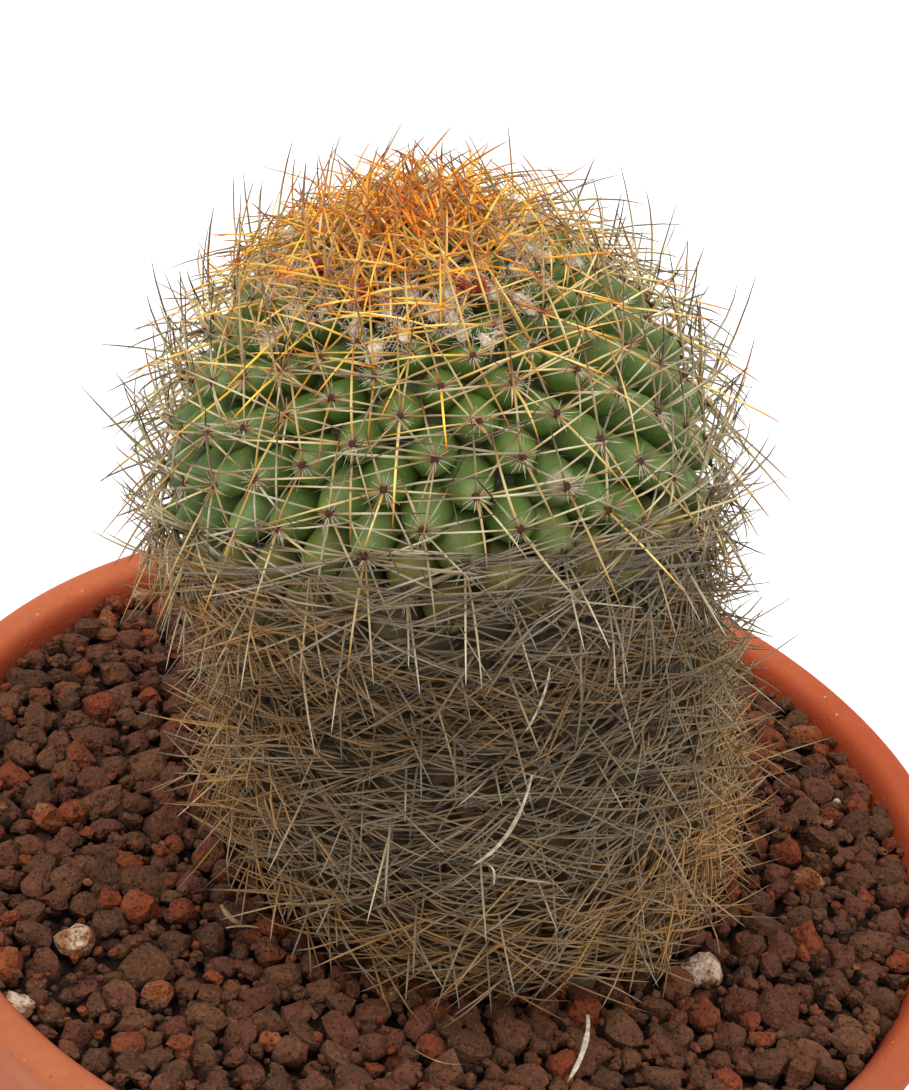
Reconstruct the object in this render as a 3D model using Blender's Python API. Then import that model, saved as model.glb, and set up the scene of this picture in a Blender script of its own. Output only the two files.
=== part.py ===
"""Potted mammillaria: a leaning, spiny cactus stem in a terracotta bowl, with soil and a lava gravel top.

The frame has +Z up and its origin at the centre of the pot's foot. All sizes are in metres.
The stem's tubercles stand a golden angle apart on one spiral, and each carries three or four spines.
"""

import math
import random

import bmesh
import bpy
import numpy as np
from mathutils import Matrix, Vector
from mathutils.geometry import delaunay_2d_cdt

MM = 0.001
GAP = 0.3 * MM  # clearance between pieces that touch
TURN = 2 * math.pi
GOLDEN_ANGLE = TURN * (1 - 2 / (1 + math.sqrt(5)))

# Pot
POT_RADIUS = 90 * MM
POT_HEIGHT = 90 * MM
POT_FOOT_RADIUS = 59 * MM
POT_WALL = 6.5 * MM
POT_FLOOR = 8 * MM
RIM_WIDTH = 7 * MM
RIM_ROUND = 3 * MM
COLLAR_HEIGHT = 24 * MM
COLLAR_STEP = 2.5 * MM
DRAIN_RADIUS = 9 * MM
POT_SEGMENTS = 48

# Fill
GRAVEL_TOP = POT_HEIGHT - 1.2 * MM
GRAVEL_DEPTH = 11 * MM
STONE_COUNT = 240  # as if the stem weren't there
STONE_RELIEF = 3.6 * MM
STONE_SINK = 1.4 * MM  # the most that a stone lies deeper than the highest
STONE_TILT = 1.5 * MM
STONE_SHAKE = 0.27  # of the spacing, off the even spiral
STONE_REACH = (0.24, 0.36)  # of the spacing, from a stone's middle to the corners of its top
SOIL_TOP = GRAVEL_TOP - GRAVEL_DEPTH - GAP

# Stem, measured up its own leaning axis from where it leaves the gravel
STEM_BASE = Vector((9.5 * MM, 0, GRAVEL_TOP - 1.5 * MM))
STEM_LEAN = math.radians(14)
BASE_RADIUS = 35 * MM
BODY_RADIUS = 38.5 * MM
WAIST_HEIGHT = 54 * MM
WAIST_DEPTH = 3 * MM
WAIST_SPREAD = 10 * MM
AGEING_HEIGHT = 62 * MM  # the middle of the belt where green skin turns to old stem, at the stem's sides
AGEING_TILT = 15 * MM  # the belt lies this much higher in front and lower behind
AGEING_BELT = 20 * MM
HEAD_RADIUS = 42.6 * MM
HEAD_HEIGHT = 73 * MM
DOME_HEIGHT = 39.5 * MM
DOME_POWER = 2.0
NOD = Vector((-2.5 * MM, 7 * MM, 0))  # how far the bent head carries the apex off the straight axis
NOD_START = 45 * MM
STEM_FOOT = GRAVEL_TOP + 0.5 * MM  # the tubercles end here, and only the neck goes on down
BURIED_SKIN = 14 * MM
NECK_RADIUS = 29 * MM
ROOT_RADIUS = 9 * MM
ROOT_DEPTH = 42 * MM
ROOT_SEGMENTS = 24

# Tubercles
APEX_SPACING = 3.1 * MM
FULL_SPACING = 8.7 * MM
GROWTH_LENGTH = 44 * MM  # skin length over which a tubercle reaches its full size
VALLEY_DEPTH = 5.4 * MM
OLD_VALLEY_DEPTH = 3 * MM
APEX_SHALLOWNESS = 0.28  # share of the full depth between the newest tubercles
TIP_RISE = 0.9 * MM
AREOLE_RADIUS = 1 * MM
AREOLE_BULGE = 0.25 * MM
LOWEST_AREOLE = GRAVEL_TOP + 2.5 * MM

# Spines
SPINE_CLEARANCE = 0.12 * MM
LOWEST_SPINE_TIP = GRAVEL_TOP + 0.8 * MM
SIDE_SPINE = 14 * MM
DOWN_SPINE = 18 * MM
UP_SPINE = 16 * MM
CROWN_SPINE = 13 * MM
CROWN_SKIN = 8 * MM  # skin length within which spines are the crown's own
CROWN_BLEND = 30 * MM
CROWN_RISE = math.radians(68)  # of a spine from the skin
SIDE_RISE = math.radians(32)
UPPER_LIFT = math.radians(6)
LEAST_RISE = 0.35
MOST_RISE = 1.4
MOST_SWING = 0.45
SPINE_THICKNESS = 0.55  # radius of a needle's root, as a share of its areole's
SPINE_SEED = 7


def smooth(x):
    """0 below 0, 1 above 1, and an even ease between them."""
    x = np.clip(x, 0, 1)
    return x * x * (3 - 2 * x)


def material(name, colour, roughness):
    made = bpy.data.materials.new(name)
    made.use_nodes = True
    shader = made.node_tree.nodes["Principled BSDF"]
    shader.inputs["Base Color"].default_value = (*colour, 1)
    shader.inputs["Roughness"].default_value = roughness
    return made


def add_object(name, mesh, finish):
    mesh.materials.append(finish)
    made = bpy.data.objects.new(name, mesh)
    bpy.context.scene.collection.objects.link(made)
    return made


def turned(name, outline, finish, segments, closed_loop=False):
    """A solid turned round Z from (radius, height) points. An open outline starts and ends on the axis."""
    shape = bmesh.new()
    points = [shape.verts.new((radius, 0, height)) for radius, height in outline]
    ends = points[1:] + points[:1] if closed_loop else points[1:]
    edges = [shape.edges.new(pair) for pair in zip(points, ends)]
    bmesh.ops.spin(
        shape, geom=points + edges, cent=(0, 0, 0), axis=(0, 0, 1), angle=TURN, steps=segments
    )
    bmesh.ops.remove_doubles(shape, verts=shape.verts, dist=0.01 * MM)
    bmesh.ops.recalc_face_normals(shape, faces=shape.faces)
    mesh = bpy.data.meshes.new(name)
    shape.to_mesh(mesh)
    shape.free()
    mesh.shade_smooth()
    mesh.set_sharp_from_angle(angle=math.radians(35))
    return add_object(name, mesh, finish)


def combine(target, helper, operation, solver="EXACT"):
    """Adds a Boolean with a helper object, which is left out of the finished object itself.

    The exact solver gives nothing on the meshes of cells, so those take the manifold one.
    """
    boolean = target.modifiers.new(f"{operation} {helper.name}", "BOOLEAN")
    boolean.operation = operation
    boolean.solver = solver
    boolean.object = helper
    helper.hide_render = True
    helper.display_type = "WIRE"


def inner_wall_radius(height):
    top = POT_RADIUS - RIM_WIDTH
    bottom = POT_FOOT_RADIUS - POT_WALL
    return bottom + (top - bottom) * (height - POT_FLOOR) / (POT_HEIGHT - POT_FLOOR)


def outer_wall_radius(height):
    top = POT_RADIUS - COLLAR_STEP
    return POT_FOOT_RADIUS + (top - POT_FOOT_RADIUS) * height / POT_HEIGHT


def make_pot(finish):
    collar_foot = POT_HEIGHT - COLLAR_HEIGHT
    chamfer = COLLAR_STEP
    outer_centre = POT_RADIUS - RIM_ROUND
    inner_centre = POT_RADIUS - RIM_WIDTH + RIM_ROUND
    rim = [
        (centre + RIM_ROUND * math.cos(turn), POT_HEIGHT - RIM_ROUND * (1 - math.sin(turn)))
        for centre, turns in ((outer_centre, (0, 30, 60, 90)), (inner_centre, (90, 120, 150)))
        for turn in map(math.radians, turns)
    ]
    outline = [
        (DRAIN_RADIUS, 0),
        (POT_FOOT_RADIUS - 1.5 * MM, 0),
        (outer_wall_radius(1.5 * MM), 1.5 * MM),
        (outer_wall_radius(collar_foot - chamfer), collar_foot - chamfer),
        (outer_wall_radius(collar_foot) + COLLAR_STEP, collar_foot),
        *rim,
        (inner_wall_radius(POT_HEIGHT - RIM_ROUND), POT_HEIGHT - RIM_ROUND),
        (inner_wall_radius(POT_FLOOR), POT_FLOOR),
        (DRAIN_RADIUS, POT_FLOOR),
    ]
    return turned("pot", outline, finish, POT_SEGMENTS, closed_loop=True)


def fill_outline(bottom, top):
    """What fills the pot from one height to another, clear of its wall."""
    return [
        (0, bottom),
        (inner_wall_radius(bottom) - GAP, bottom),
        (inner_wall_radius(top) - GAP, top),
        (0, top),
    ]


def make_root(name, finish, clearance=0):
    """The buried neck and taproot, straight below the stem's base, or with a clearance its hole."""
    inside_stem = GRAVEL_TOP + 2.5 * MM
    shoulder = SOIL_TOP - 3 * MM
    tip = STEM_BASE.z - ROOT_DEPTH - clearance
    outline = [
        (0, inside_stem),
        (NECK_RADIUS + clearance, inside_stem),
        (NECK_RADIUS + clearance, shoulder),
        (ROOT_RADIUS + clearance, tip),
        (0, tip),
    ]
    root = turned(name, outline, finish, ROOT_SEGMENTS)
    root.location = (STEM_BASE.x, STEM_BASE.y, 0)
    return root


def make_soil(finish):
    outline = fill_outline(POT_FLOOR + GAP, SOIL_TOP)
    soil = turned("soil", outline, finish, POT_SEGMENTS)
    combine(soil, make_root("root_hole_in_soil", finish, 1.5 * GAP), "DIFFERENCE")
    return soil


def triangulate(points):
    """Delaunay triangles over flat points, each as three of their indices, turning counterclockwise."""
    vertices, _, faces, origins, _, _ = delaunay_2d_cdt(
        [Vector(point) for point in points], [], [], 0, 1e-9
    )
    triangles = []
    for face in faces:
        a, b, c = (vertices[index] for index in face)
        corners = [origins[index][0] for index in face]
        triangles.append(corners if (b - a).cross(c - a) > 0 else corners[::-1])
    return triangles


class Cells:
    """A mesh grown over flat points, one cell round each. A cell's corners are its triangles' centres."""

    def __init__(self, points):
        self.points = np.array(points)
        self.vertices = []
        self.faces = []
        triangles = triangulate(self.points)
        self.centres = np.array([self.points[corners].mean(axis=0) for corners in triangles])
        self.touching = [[] for _ in self.points]
        for number, corners in enumerate(triangles):
            for index in corners:
                self.touching[index].append(number)
        self.corner_vertex = {}

    def add(self, place):
        self.vertices.append(tuple(place))
        return len(self.vertices) - 1

    def outline(self, index, corner_place):
        """The loop of a cell's corners. Each is placed in space once, by corner_place(x, y)."""
        loop = []
        for number in self.touching[index]:
            if number not in self.corner_vertex:
                self.corner_vertex[number] = self.add(corner_place(*self.centres[number]))
            x, y = self.centres[number] - self.points[index]
            loop.append((self.corner_vertex[number], math.atan2(y, x)))
        return sorted(loop, key=lambda corner: corner[1])

    def zip_loops(self, outer, inner):
        """Faces between two loops round one middle, each a list of (vertex, direction from the middle)."""
        start = outer[0][1] - 1e-6
        out, into = (
            sorted(((angle - start) % TURN, vertex) for vertex, angle in loop)
            for loop in (outer, inner)
        )
        out.append((TURN + out[0][0], out[0][1]))
        into.append((TURN + into[0][0], into[0][1]))
        i = j = 0
        while i < len(out) - 1 or j < len(into) - 1:
            outer_is_next = j == len(into) - 1 or (i < len(out) - 1 and out[i + 1] <= into[j + 1])
            if outer_is_next:
                self.faces.append((out[i][1], out[i + 1][1], into[j][1]))
                i += 1
            else:
                self.faces.append((out[i][1], into[j + 1][1], into[j][1]))
                j += 1

    def closed_mesh(self, name, drop):
        """The faces as a solid: its open edge is carried down by a drop and closed across."""
        mesh = bpy.data.meshes.new(name)
        mesh.from_pydata(self.vertices, [], self.faces)
        shape = bmesh.new()
        shape.from_mesh(mesh)
        rim = [edge for edge in shape.edges if edge.is_boundary]
        skirt = bmesh.ops.extrude_edge_only(shape, edges=rim)["geom"]
        lower = [part for part in skirt if isinstance(part, bmesh.types.BMVert)]
        bmesh.ops.translate(shape, verts=lower, vec=(0, 0, -drop))
        bmesh.ops.holes_fill(shape, edges=[edge for edge in shape.edges if edge.is_boundary])
        bmesh.ops.recalc_face_normals(shape, faces=shape.faces)
        bmesh.ops.triangulate(shape, faces=shape.faces)
        shape.to_mesh(mesh)
        shape.free()
        return mesh


def make_gravel(finish):
    """A bed of lava stones, each a raised and tilted four-cornered cap on its own cell."""
    draw = random.Random(3)
    spacing = math.sqrt(math.pi / STONE_COUNT) * inner_wall_radius(GRAVEL_TOP)
    past_the_rim = POT_RADIUS + spacing
    stones = []
    for number in range(int((past_the_rim / spacing) ** 2 * math.pi)):
        radius = spacing * math.sqrt((number + 0.5) / math.pi)
        angle = number * GOLDEN_ANGLE
        shake_x, shake_y = (draw.uniform(-STONE_SHAKE, STONE_SHAKE) * spacing for _ in range(2))
        stones.append((radius * math.cos(angle) + shake_x, radius * math.sin(angle) + shake_y))
    cells = Cells(stones)
    for index, stone in enumerate(stones):
        if math.hypot(*stone) > POT_RADIUS:
            continue
        outer = cells.outline(index, lambda x, y: (x, y, GRAVEL_TOP - STONE_RELIEF))
        height = GRAVEL_TOP - draw.uniform(0, STONE_SINK)
        turn = draw.uniform(0, TURN)
        crown = []
        for k in range(4):
            angle = turn + (k + draw.uniform(-0.25, 0.25)) * TURN / 4
            reach = draw.uniform(*STONE_REACH) * spacing
            place = (stone[0] + reach * math.cos(angle), stone[1] + reach * math.sin(angle))
            crown.append((cells.add((*place, height - draw.uniform(0, STONE_TILT))), angle))
        cells.zip_loops(outer, crown)
        cells.faces.append([vertex for vertex, _ in crown])
    gravel = add_object("gravel", cells.closed_mesh("gravel", GRAVEL_DEPTH), finish)
    bed = fill_outline(SOIL_TOP + GAP, POT_HEIGHT)
    combine(gravel, turned("gravel_bed", bed, finish, POT_SEGMENTS), "INTERSECT", "MANIFOLD")
    combine(gravel, make_root("neck_hole_in_gravel", finish, 1.5 * GAP), "DIFFERENCE", "MANIFOLD")
    return gravel


class Stem:
    """The stem's skin through its tubercle tips: a turned profile on a leaning axis, bent at the head."""

    def __init__(self):
        turn = np.linspace(0, math.pi / 2, 160)
        dome_radius = HEAD_RADIUS * np.sin(turn) ** (2 / DOME_POWER)
        dome_height = HEAD_HEIGHT + DOME_HEIGHT * np.cos(turn) ** (2 / DOME_POWER)
        body_height = np.linspace(HEAD_HEIGHT, -BURIED_SKIN, 200)[1:]
        self.radius = np.concatenate([dome_radius, self.body_radius(body_height)])
        self.height = np.concatenate([dome_height, body_height])
        steps = np.hypot(np.diff(self.radius), np.diff(self.height))
        self.skin = np.concatenate([[0], np.cumsum(steps)])
        self.lean = Matrix.Rotation(-STEM_LEAN, 3, "Y")
        self.map_radius = self.flat_radius()

    @staticmethod
    def body_radius(height):
        """Below the dome: a foot that widens, a waist between two growing seasons, and a fuller head."""
        foot = BASE_RADIUS + (BODY_RADIUS - BASE_RADIUS) * smooth(height / (14 * MM))
        waist = WAIST_DEPTH * np.exp(-(((height - WAIST_HEIGHT) / WAIST_SPREAD) ** 2))
        rise = smooth((height - WAIST_HEIGHT) / (HEAD_HEIGHT - WAIST_HEIGHT))
        return foot - waist + (HEAD_RADIUS - BODY_RADIUS) * rise

    def flat_radius(self):
        """The skin drawn flat with its shapes kept: each ring's flat radius grows by skin step / radius."""
        radius = np.maximum(self.radius, 0.4 * MM)
        rate = (1 / radius[1:] + 1 / radius[:-1]) / 2
        growth = np.concatenate([[0], np.cumsum(rate * np.diff(self.skin))])
        return np.exp(growth - growth[-1])

    def age(self, skin, angle):
        """0 on the green head and 1 on the old stem below the ageing belt."""
        height = np.interp(skin, self.skin, self.height)
        belt = AGEING_HEIGHT - AGEING_TILT * math.sin(angle)
        return smooth((belt + AGEING_BELT / 2 - height) / AGEING_BELT)

    @staticmethod
    def spacing(skin):
        """Tubercles are small and crowded at the apex, and full-grown down the sides."""
        return APEX_SPACING + (FULL_SPACING - APEX_SPACING) * smooth(skin / GROWTH_LENGTH)

    def valley_depth(self, skin, angle):
        full = VALLEY_DEPTH + (OLD_VALLEY_DEPTH - VALLEY_DEPTH) * self.age(skin, angle)
        return full * (APEX_SHALLOWNESS + (1 - APEX_SHALLOWNESS) * smooth(skin / GROWTH_LENGTH))

    def spiral(self):
        """(distance along the skin, angle) of each tubercle, from the apex down, a golden angle apart."""
        area = self.spacing(self.skin) ** 2 * math.sqrt(3) / 2
        density = TURN * self.radius / area
        middle = (density[1:] + density[:-1]) / 2
        count = np.concatenate([[0], np.cumsum(middle * np.diff(self.skin))])
        numbers = np.arange(0.5, count[-1], 1)
        return np.interp(numbers, count, self.skin), numbers * GOLDEN_ANGLE

    @staticmethod
    def bent(height):
        """How far the bend carries the axis off its straight line at a height along it."""
        share = max(height - NOD_START, 0) / (HEAD_HEIGHT + DOME_HEIGHT - NOD_START)
        return NOD * share**2

    def frame(self, skin, angle):
        """A point of the skin, and its outward, downward and sideways directions."""
        step = 0.4 * MM
        ends = np.array([max(skin - step, 0), skin, skin + step])
        radius = np.interp(ends, self.skin, self.radius)
        height = np.interp(ends, self.skin, self.height)
        turn = self.lean @ Matrix.Rotation(angle, 3, "Z")
        above, here, below = (turn @ Vector((r, 0, h)) + self.bent(h) for r, h in zip(radius, height))
        down = (below - above).normalized()
        normal = down.cross(turn @ Vector((0, 1, 0))).normalized()
        return STEM_BASE + here, normal, down, normal.cross(down)

    def valley(self, x, y):
        """The bottom between tubercles, at a point of the flat map."""
        skin, angle = float(np.interp(math.hypot(x, y), self.map_radius, self.skin)), math.atan2(y, x)
        place, normal, _, _ = self.frame(skin, angle)
        return place - normal * float(self.valley_depth(skin, angle))


class Areole:
    """The spiny tip of one tubercle. Headings turn from straight down the stem towards its side."""

    def __init__(self, stem, skin, angle):
        place, self.normal, self.down, self.side = stem.frame(skin, angle)
        self.size = float(stem.spacing(skin)) / FULL_SPACING
        self.age = float(stem.age(skin, angle))
        self.vigour = float(smooth((skin - CROWN_SKIN) / CROWN_BLEND))
        self.tip = place - self.down * TIP_RISE * self.size
        self.polar = angle % TURN

    def outward(self, heading, rise):
        """The direction at a heading, raised by an angle from the skin."""
        level = self.down * math.cos(heading) + self.side * math.sin(heading)
        return level * math.cos(rise) + self.normal * math.sin(rise)

    def headings(self, flip):
        """Young areoles have four spines, in a cross. Old ones keep three, and every second is flipped."""
        if self.age < 0.5:
            return [k * TURN / 4 for k in range(4)]
        return [(k / 3 + flip / 2) * TURN for k in range(3)]

    def spine_length(self, heading, draw):
        """The longest point down, then up, then sideways. Those at the apex are still short."""
        lengthwise = math.cos(heading)
        longest = DOWN_SPINE if lengthwise > 0 else UP_SPINE
        full = SIDE_SPINE + (longest - SIDE_SPINE) * lengthwise**2
        return (CROWN_SPINE + (full - CROWN_SPINE) * self.vigour) * draw.uniform(0.85, 1.1)


class SpineYard:
    """The spines placed so far. A new one is turned a little until it is clear of them all."""

    def __init__(self):
        self.starts = np.zeros((0, 3))
        self.ends = np.zeros((0, 3))
        self.thickness = np.zeros(0)
        self.owners = np.zeros(0, int)
        self.draw = random.Random(SPINE_SEED)

    def is_clear(self, start, end, thickness, owner):
        """Whether a needle, thick at its start and fine at its end, misses every other areole's."""
        others = self.owners != owner
        first, theirs = self.starts[others], (self.ends - self.starts)[others]
        along, offset = end - start, start - first
        a, e = along @ along, np.einsum("ij,ij->i", theirs, theirs)
        b, c = theirs @ along, offset @ along
        f = np.einsum("ij,ij->i", theirs, offset)
        s = np.clip((b * f - c * e) / np.maximum(a * e - b * b, 1e-18), 0, 1)
        t = np.clip((b * s + f) / e, 0, 1)
        s = np.clip((b * t - c) / a, 0, 1)
        between = offset + s[:, None] * along - t[:, None] * theirs
        needed = thickness * (1 - s) + self.thickness[others] * (1 - t) + SPINE_CLEARANCE
        return bool((np.linalg.norm(between, axis=1) > needed).all())

    def grow(self, areole, owner, heading, start, thickness):
        """The tip of a new needle from a start on an areole."""
        length = areole.spine_length(heading, self.draw)
        rise = CROWN_RISE + (SIDE_RISE - CROWN_RISE) * areole.vigour
        rise += UPPER_LIFT * max(-math.cos(heading), 0)
        tries = 0
        while True:
            looseness = min(0.05 + 0.012 * tries, 0.4)
            swing = np.clip(self.draw.gauss(0, looseness), -MOST_SWING, MOST_SWING)
            steep = np.clip(rise + self.draw.gauss(0, looseness), LEAST_RISE, MOST_RISE)
            end = start + areole.outward(heading + swing, steep) * length
            above_gravel = end.z > LOWEST_SPINE_TIP
            if above_gravel and self.is_clear(np.array(start), np.array(end), thickness, owner):
                break
            tries += 1
            if tries % 12 == 0:
                length *= 0.88
        self.starts = np.vstack([self.starts, start])
        self.ends = np.vstack([self.ends, end])
        self.thickness = np.append(self.thickness, thickness)
        self.owners = np.append(self.owners, owner)
        return end


def make_cactus(finish):
    """Each tubercle is a pyramid on its own cell, whose tip's facets are drawn out into spines."""
    stem = Stem()
    skins, angles = stem.spiral()
    out = np.interp(skins, stem.skin, stem.map_radius)
    cells = Cells(np.stack([out * np.cos(angles), out * np.sin(angles)], axis=1))
    yard = SpineYard()
    last = stem.skin[-1] - 0.6 * FULL_SPACING  # past it the cells are open on their outer side
    for index, (skin, angle) in enumerate(zip(skins, angles)):
        if skin > last:
            break
        areole = Areole(stem, skin, angle)
        outer = cells.outline(index, stem.valley)
        if areole.tip.z < LOWEST_AREOLE:
            cells.zip_loops(outer, [(cells.add(areole.tip), areole.polar)])
            continue
        headings = areole.headings(flip=index % 2)
        radius = AREOLE_RADIUS * (0.5 + 0.5 * areole.size)
        corners = []
        for heading in headings:
            between = heading + TURN / len(headings) / 2
            corner = cells.add(areole.tip + areole.outward(between, 0) * radius)
            corners.append((corner, areole.polar + between))
        cells.zip_loops(outer, corners)
        heart = cells.add(areole.tip + areole.normal * AREOLE_BULGE)
        for k, heading in enumerate(headings):
            facet = (corners[k - 1][0], corners[k][0], heart)
            start = sum((Vector(cells.vertices[vertex]) for vertex in facet), Vector()) / 3
            point = cells.add(yard.grow(areole, index, heading, start, SPINE_THICKNESS * radius))
            cells.faces += [(facet[i - 1], facet[i], point) for i in range(3)]
    cactus = add_object("cactus", cells.closed_mesh("cactus", 0.5 * MM), finish)
    below = [(0, 0), (POT_RADIUS, 0), (POT_RADIUS, STEM_FOOT), (0, STEM_FOOT)]
    combine(cactus, turned("ground", below, finish, ROOT_SEGMENTS), "DIFFERENCE", "MANIFOLD")
    combine(cactus, make_root("root", finish), "UNION", "MANIFOLD")
    return cactus


def main():
    for leftover in list(bpy.data.objects):
        bpy.data.objects.remove(leftover)
    make_pot(material("terracotta", (0.62, 0.23, 0.10), 0.8))
    make_soil(material("potting_soil", (0.06, 0.04, 0.03), 0.95))
    make_gravel(material("lava_gravel", (0.13, 0.06, 0.045), 0.95))
    make_cactus(material("cactus_skin", (0.12, 0.25, 0.06), 0.5))


main()
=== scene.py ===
"""Potted mammillaria: the looks of a leaning, spiny cactus in a terracotta bowl with a lava gravel top.

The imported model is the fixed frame. Fine pieces stand for the pot, gravel and cactus solids, and the soil
keeps its solid. All sizes are in metres, +Z is up, and the foot of the pot stands on Z = 0.
"""

import logging
import math
from dataclasses import dataclass, field
from enum import Enum

import bpy
import numpy as np
from mathutils import Matrix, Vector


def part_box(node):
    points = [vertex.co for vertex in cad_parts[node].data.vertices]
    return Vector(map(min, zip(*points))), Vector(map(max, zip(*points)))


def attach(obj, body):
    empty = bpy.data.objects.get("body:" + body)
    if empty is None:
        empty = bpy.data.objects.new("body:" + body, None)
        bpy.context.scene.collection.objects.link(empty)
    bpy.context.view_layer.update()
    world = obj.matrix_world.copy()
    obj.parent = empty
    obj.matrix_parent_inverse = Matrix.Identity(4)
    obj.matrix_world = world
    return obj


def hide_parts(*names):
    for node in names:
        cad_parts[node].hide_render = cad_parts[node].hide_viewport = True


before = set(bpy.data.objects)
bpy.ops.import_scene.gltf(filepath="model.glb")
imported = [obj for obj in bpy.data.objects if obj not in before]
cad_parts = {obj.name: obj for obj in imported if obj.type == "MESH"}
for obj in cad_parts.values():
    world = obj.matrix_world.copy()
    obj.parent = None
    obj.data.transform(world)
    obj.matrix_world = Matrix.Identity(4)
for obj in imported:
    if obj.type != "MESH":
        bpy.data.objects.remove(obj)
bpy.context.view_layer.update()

LOG = logging.getLogger("potted_mammillaria")
Array = np.ndarray
Random = np.random.Generator
Socket = bpy.types.NodeSocket
Colour = tuple[float, float, float, float]
Ramp = tuple[tuple[float, Colour], ...]
Pair = tuple[float, float]
Tones = tuple[Colour, Colour]
Row = dict[str, Array]
MM = 0.001
TURN = 2 * math.pi
GOLDEN_ANGLE = TURN * (1 - 2 / (1 + math.sqrt(5)))
BODY = "root"


# Numbers and colours


def smooth(x: Array | float) -> Array:
    """0 below 0, 1 above 1, and the even ease 3x² − 2x³ between them."""
    x = np.clip(x, 0, 1)
    return x * x * (3 - 2 * x)


def unit(vectors: Array) -> Array:
    """The same vectors, each divided by its length."""
    return vectors / np.maximum(np.linalg.norm(vectors, axis=-1, keepdims=True), 1e-12)


def shade(red: int, green: int, blue: int) -> Colour:
    """A display colour, 0 to 255 a channel, as the linear colour that a shader takes."""
    display = np.array([red, green, blue]) / 255
    linear = np.where(display <= 0.04045, display / 12.92, ((display + 0.055) / 1.055) ** 2.4)
    return (*(float(channel) for channel in linear), 1.0)


def ramp_of(*stops: tuple[float, int, int, int]) -> Ramp:
    """The stops of a colour ramp, each a place and a display colour."""
    return tuple((place, shade(*colour)) for place, *colour in stops)


def picked(row: Row, which: Array) -> Row:
    """The entries of every column that a mask or a list of numbers picks."""
    return {key: value[which] for key, value in row.items()}


def around(count: int) -> Array:
    """Angles spread evenly round a circle, from 0."""
    return np.arange(count) * TURN / count


def towards(row: Row, angle: Array) -> Array:
    """A direction in the skin for each frame, at its angle from down towards side: cos · down + sin · side."""
    return np.cos(angle)[:, None] * row["down"] + np.sin(angle)[:, None] * row["side"]


def spokes(row: Row, angles: Array, long: float = 1) -> Array:
    """Directions in the skin at all the angles for each frame: long · cos · down + sin · side."""
    return long * np.cos(angles)[:, None] * row["down"][:, None] + np.sin(angles)[:, None] * row["side"][:, None]


# Meshes


def make_mesh(
    name: str,
    points: Array,
    faces: list[Array],
    finish: bpy.types.Material,
    values: Row | None = None,
    faceted: bool = False,
) -> bpy.types.Object:
    """Puts whole arrays into one mesh object that stands at the origin.

    Args:
        name: name of the piece.
        points: vertices, of shape (vertices, 3).
        faces: vertex numbers, one array of shape (faces, corners) for each kind of polygon.
        finish: its material.
        values: vertex attributes, one number for each vertex.
        faceted: whether its faces are shaded flat.

    Returns:
        The object, linked to the scene.
    """
    mesh = bpy.data.meshes.new(name)
    mesh.vertices.add(len(points))
    mesh.vertices.foreach_set("co", points.astype(np.float32).ravel())
    corners = np.concatenate([kind.ravel() for kind in faces])
    sizes = np.concatenate([np.full(len(kind), kind.shape[1]) for kind in faces])
    mesh.loops.add(len(corners))
    mesh.loops.foreach_set("vertex_index", corners.astype(np.int32))
    mesh.polygons.add(len(sizes))
    mesh.polygons.foreach_set("loop_start", (np.cumsum(sizes) - sizes).astype(np.int32))
    mesh.update(calc_edges=True)
    for key, numbers in (values or {}).items():
        attribute = mesh.attributes.new(key, "FLOAT", "POINT")
        attribute.data.foreach_set("value", numbers.astype(np.float32))
    if faceted:
        mesh.shade_flat()
    else:
        mesh.shade_smooth()
    mesh.materials.append(finish)
    made = bpy.data.objects.new(name, mesh)
    bpy.context.scene.collection.objects.link(made)
    LOG.info("%s: %d vertices, %d triangles", name, len(points), (sizes - 2).sum())
    return made


def wrapped_quads(rows: int, columns: int, closed_rows: bool) -> Array:
    """Faces of a grid that closes round its columns, and also round its rows if asked.

    Args:
        rows: rings of the grid.
        columns: points in each ring.
        closed_rows: whether the last ring joins the first.

    Returns:
        Vertex numbers, of shape (faces, 4), that face outwards where rows run up and columns run anticlockwise.
    """
    row = np.arange(rows if closed_rows else rows - 1)[:, None]
    column = np.arange(columns)[None, :]
    after, above = (column + 1) % columns, (row + 1) % rows
    corners = [row * columns + column, row * columns + after, above * columns + after, above * columns + column]
    return np.stack(corners, -1).reshape(-1, 4)


@dataclass
class Stacks:
    """Many closed shapes of one layout: each is a stack of rings with one point at either end.

    values holds one number for each shape, or one for each shape and level: start, rings, end.
    """

    rings: Array
    start: Array
    end: Array
    values: Row = field(default_factory=dict)

    def points(self) -> Array:
        """All the vertices, shape by shape: its start, its rings, its end."""
        shapes, levels, sides = self.rings.shape[:3]
        body = self.rings.reshape(shapes, levels * sides, 3)
        return np.concatenate([self.start[:, None], body, self.end[:, None]], 1).reshape(-1, 3)

    def faces(self) -> tuple[Array, Array]:
        """Quads between the rings and triangles round the two ends, facing outwards."""
        shapes, levels, sides = self.rings.shape[:3]
        each = levels * sides + 2
        side = np.arange(sides)
        after = (side + 1) % sides
        top = 1 + (levels - 1) * sides
        foot_fan = np.stack([np.zeros_like(side), 1 + after, 1 + side], -1)
        head_fan = np.stack([np.full_like(side, each - 1), top + side, top + after], -1)
        first = (np.arange(shapes) * each)[:, None, None]
        quads = first + 1 + wrapped_quads(levels, sides, False)[None]
        fans = first + np.concatenate([foot_fan, head_fan])[None]
        return quads.reshape(-1, 4), fans.reshape(-1, 3)

    def spread(self, key: str) -> Array:
        """One attribute as a number for each vertex."""
        levels, sides = self.rings.shape[1:3]
        numbers = self.values[key]
        if numbers.ndim == 1:
            return np.repeat(numbers, levels * sides + 2)
        middle = np.repeat(numbers[:, 1:-1], sides, axis=1)
        return np.concatenate([numbers[:, :1], middle, numbers[:, -1:]], 1).ravel()


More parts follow.
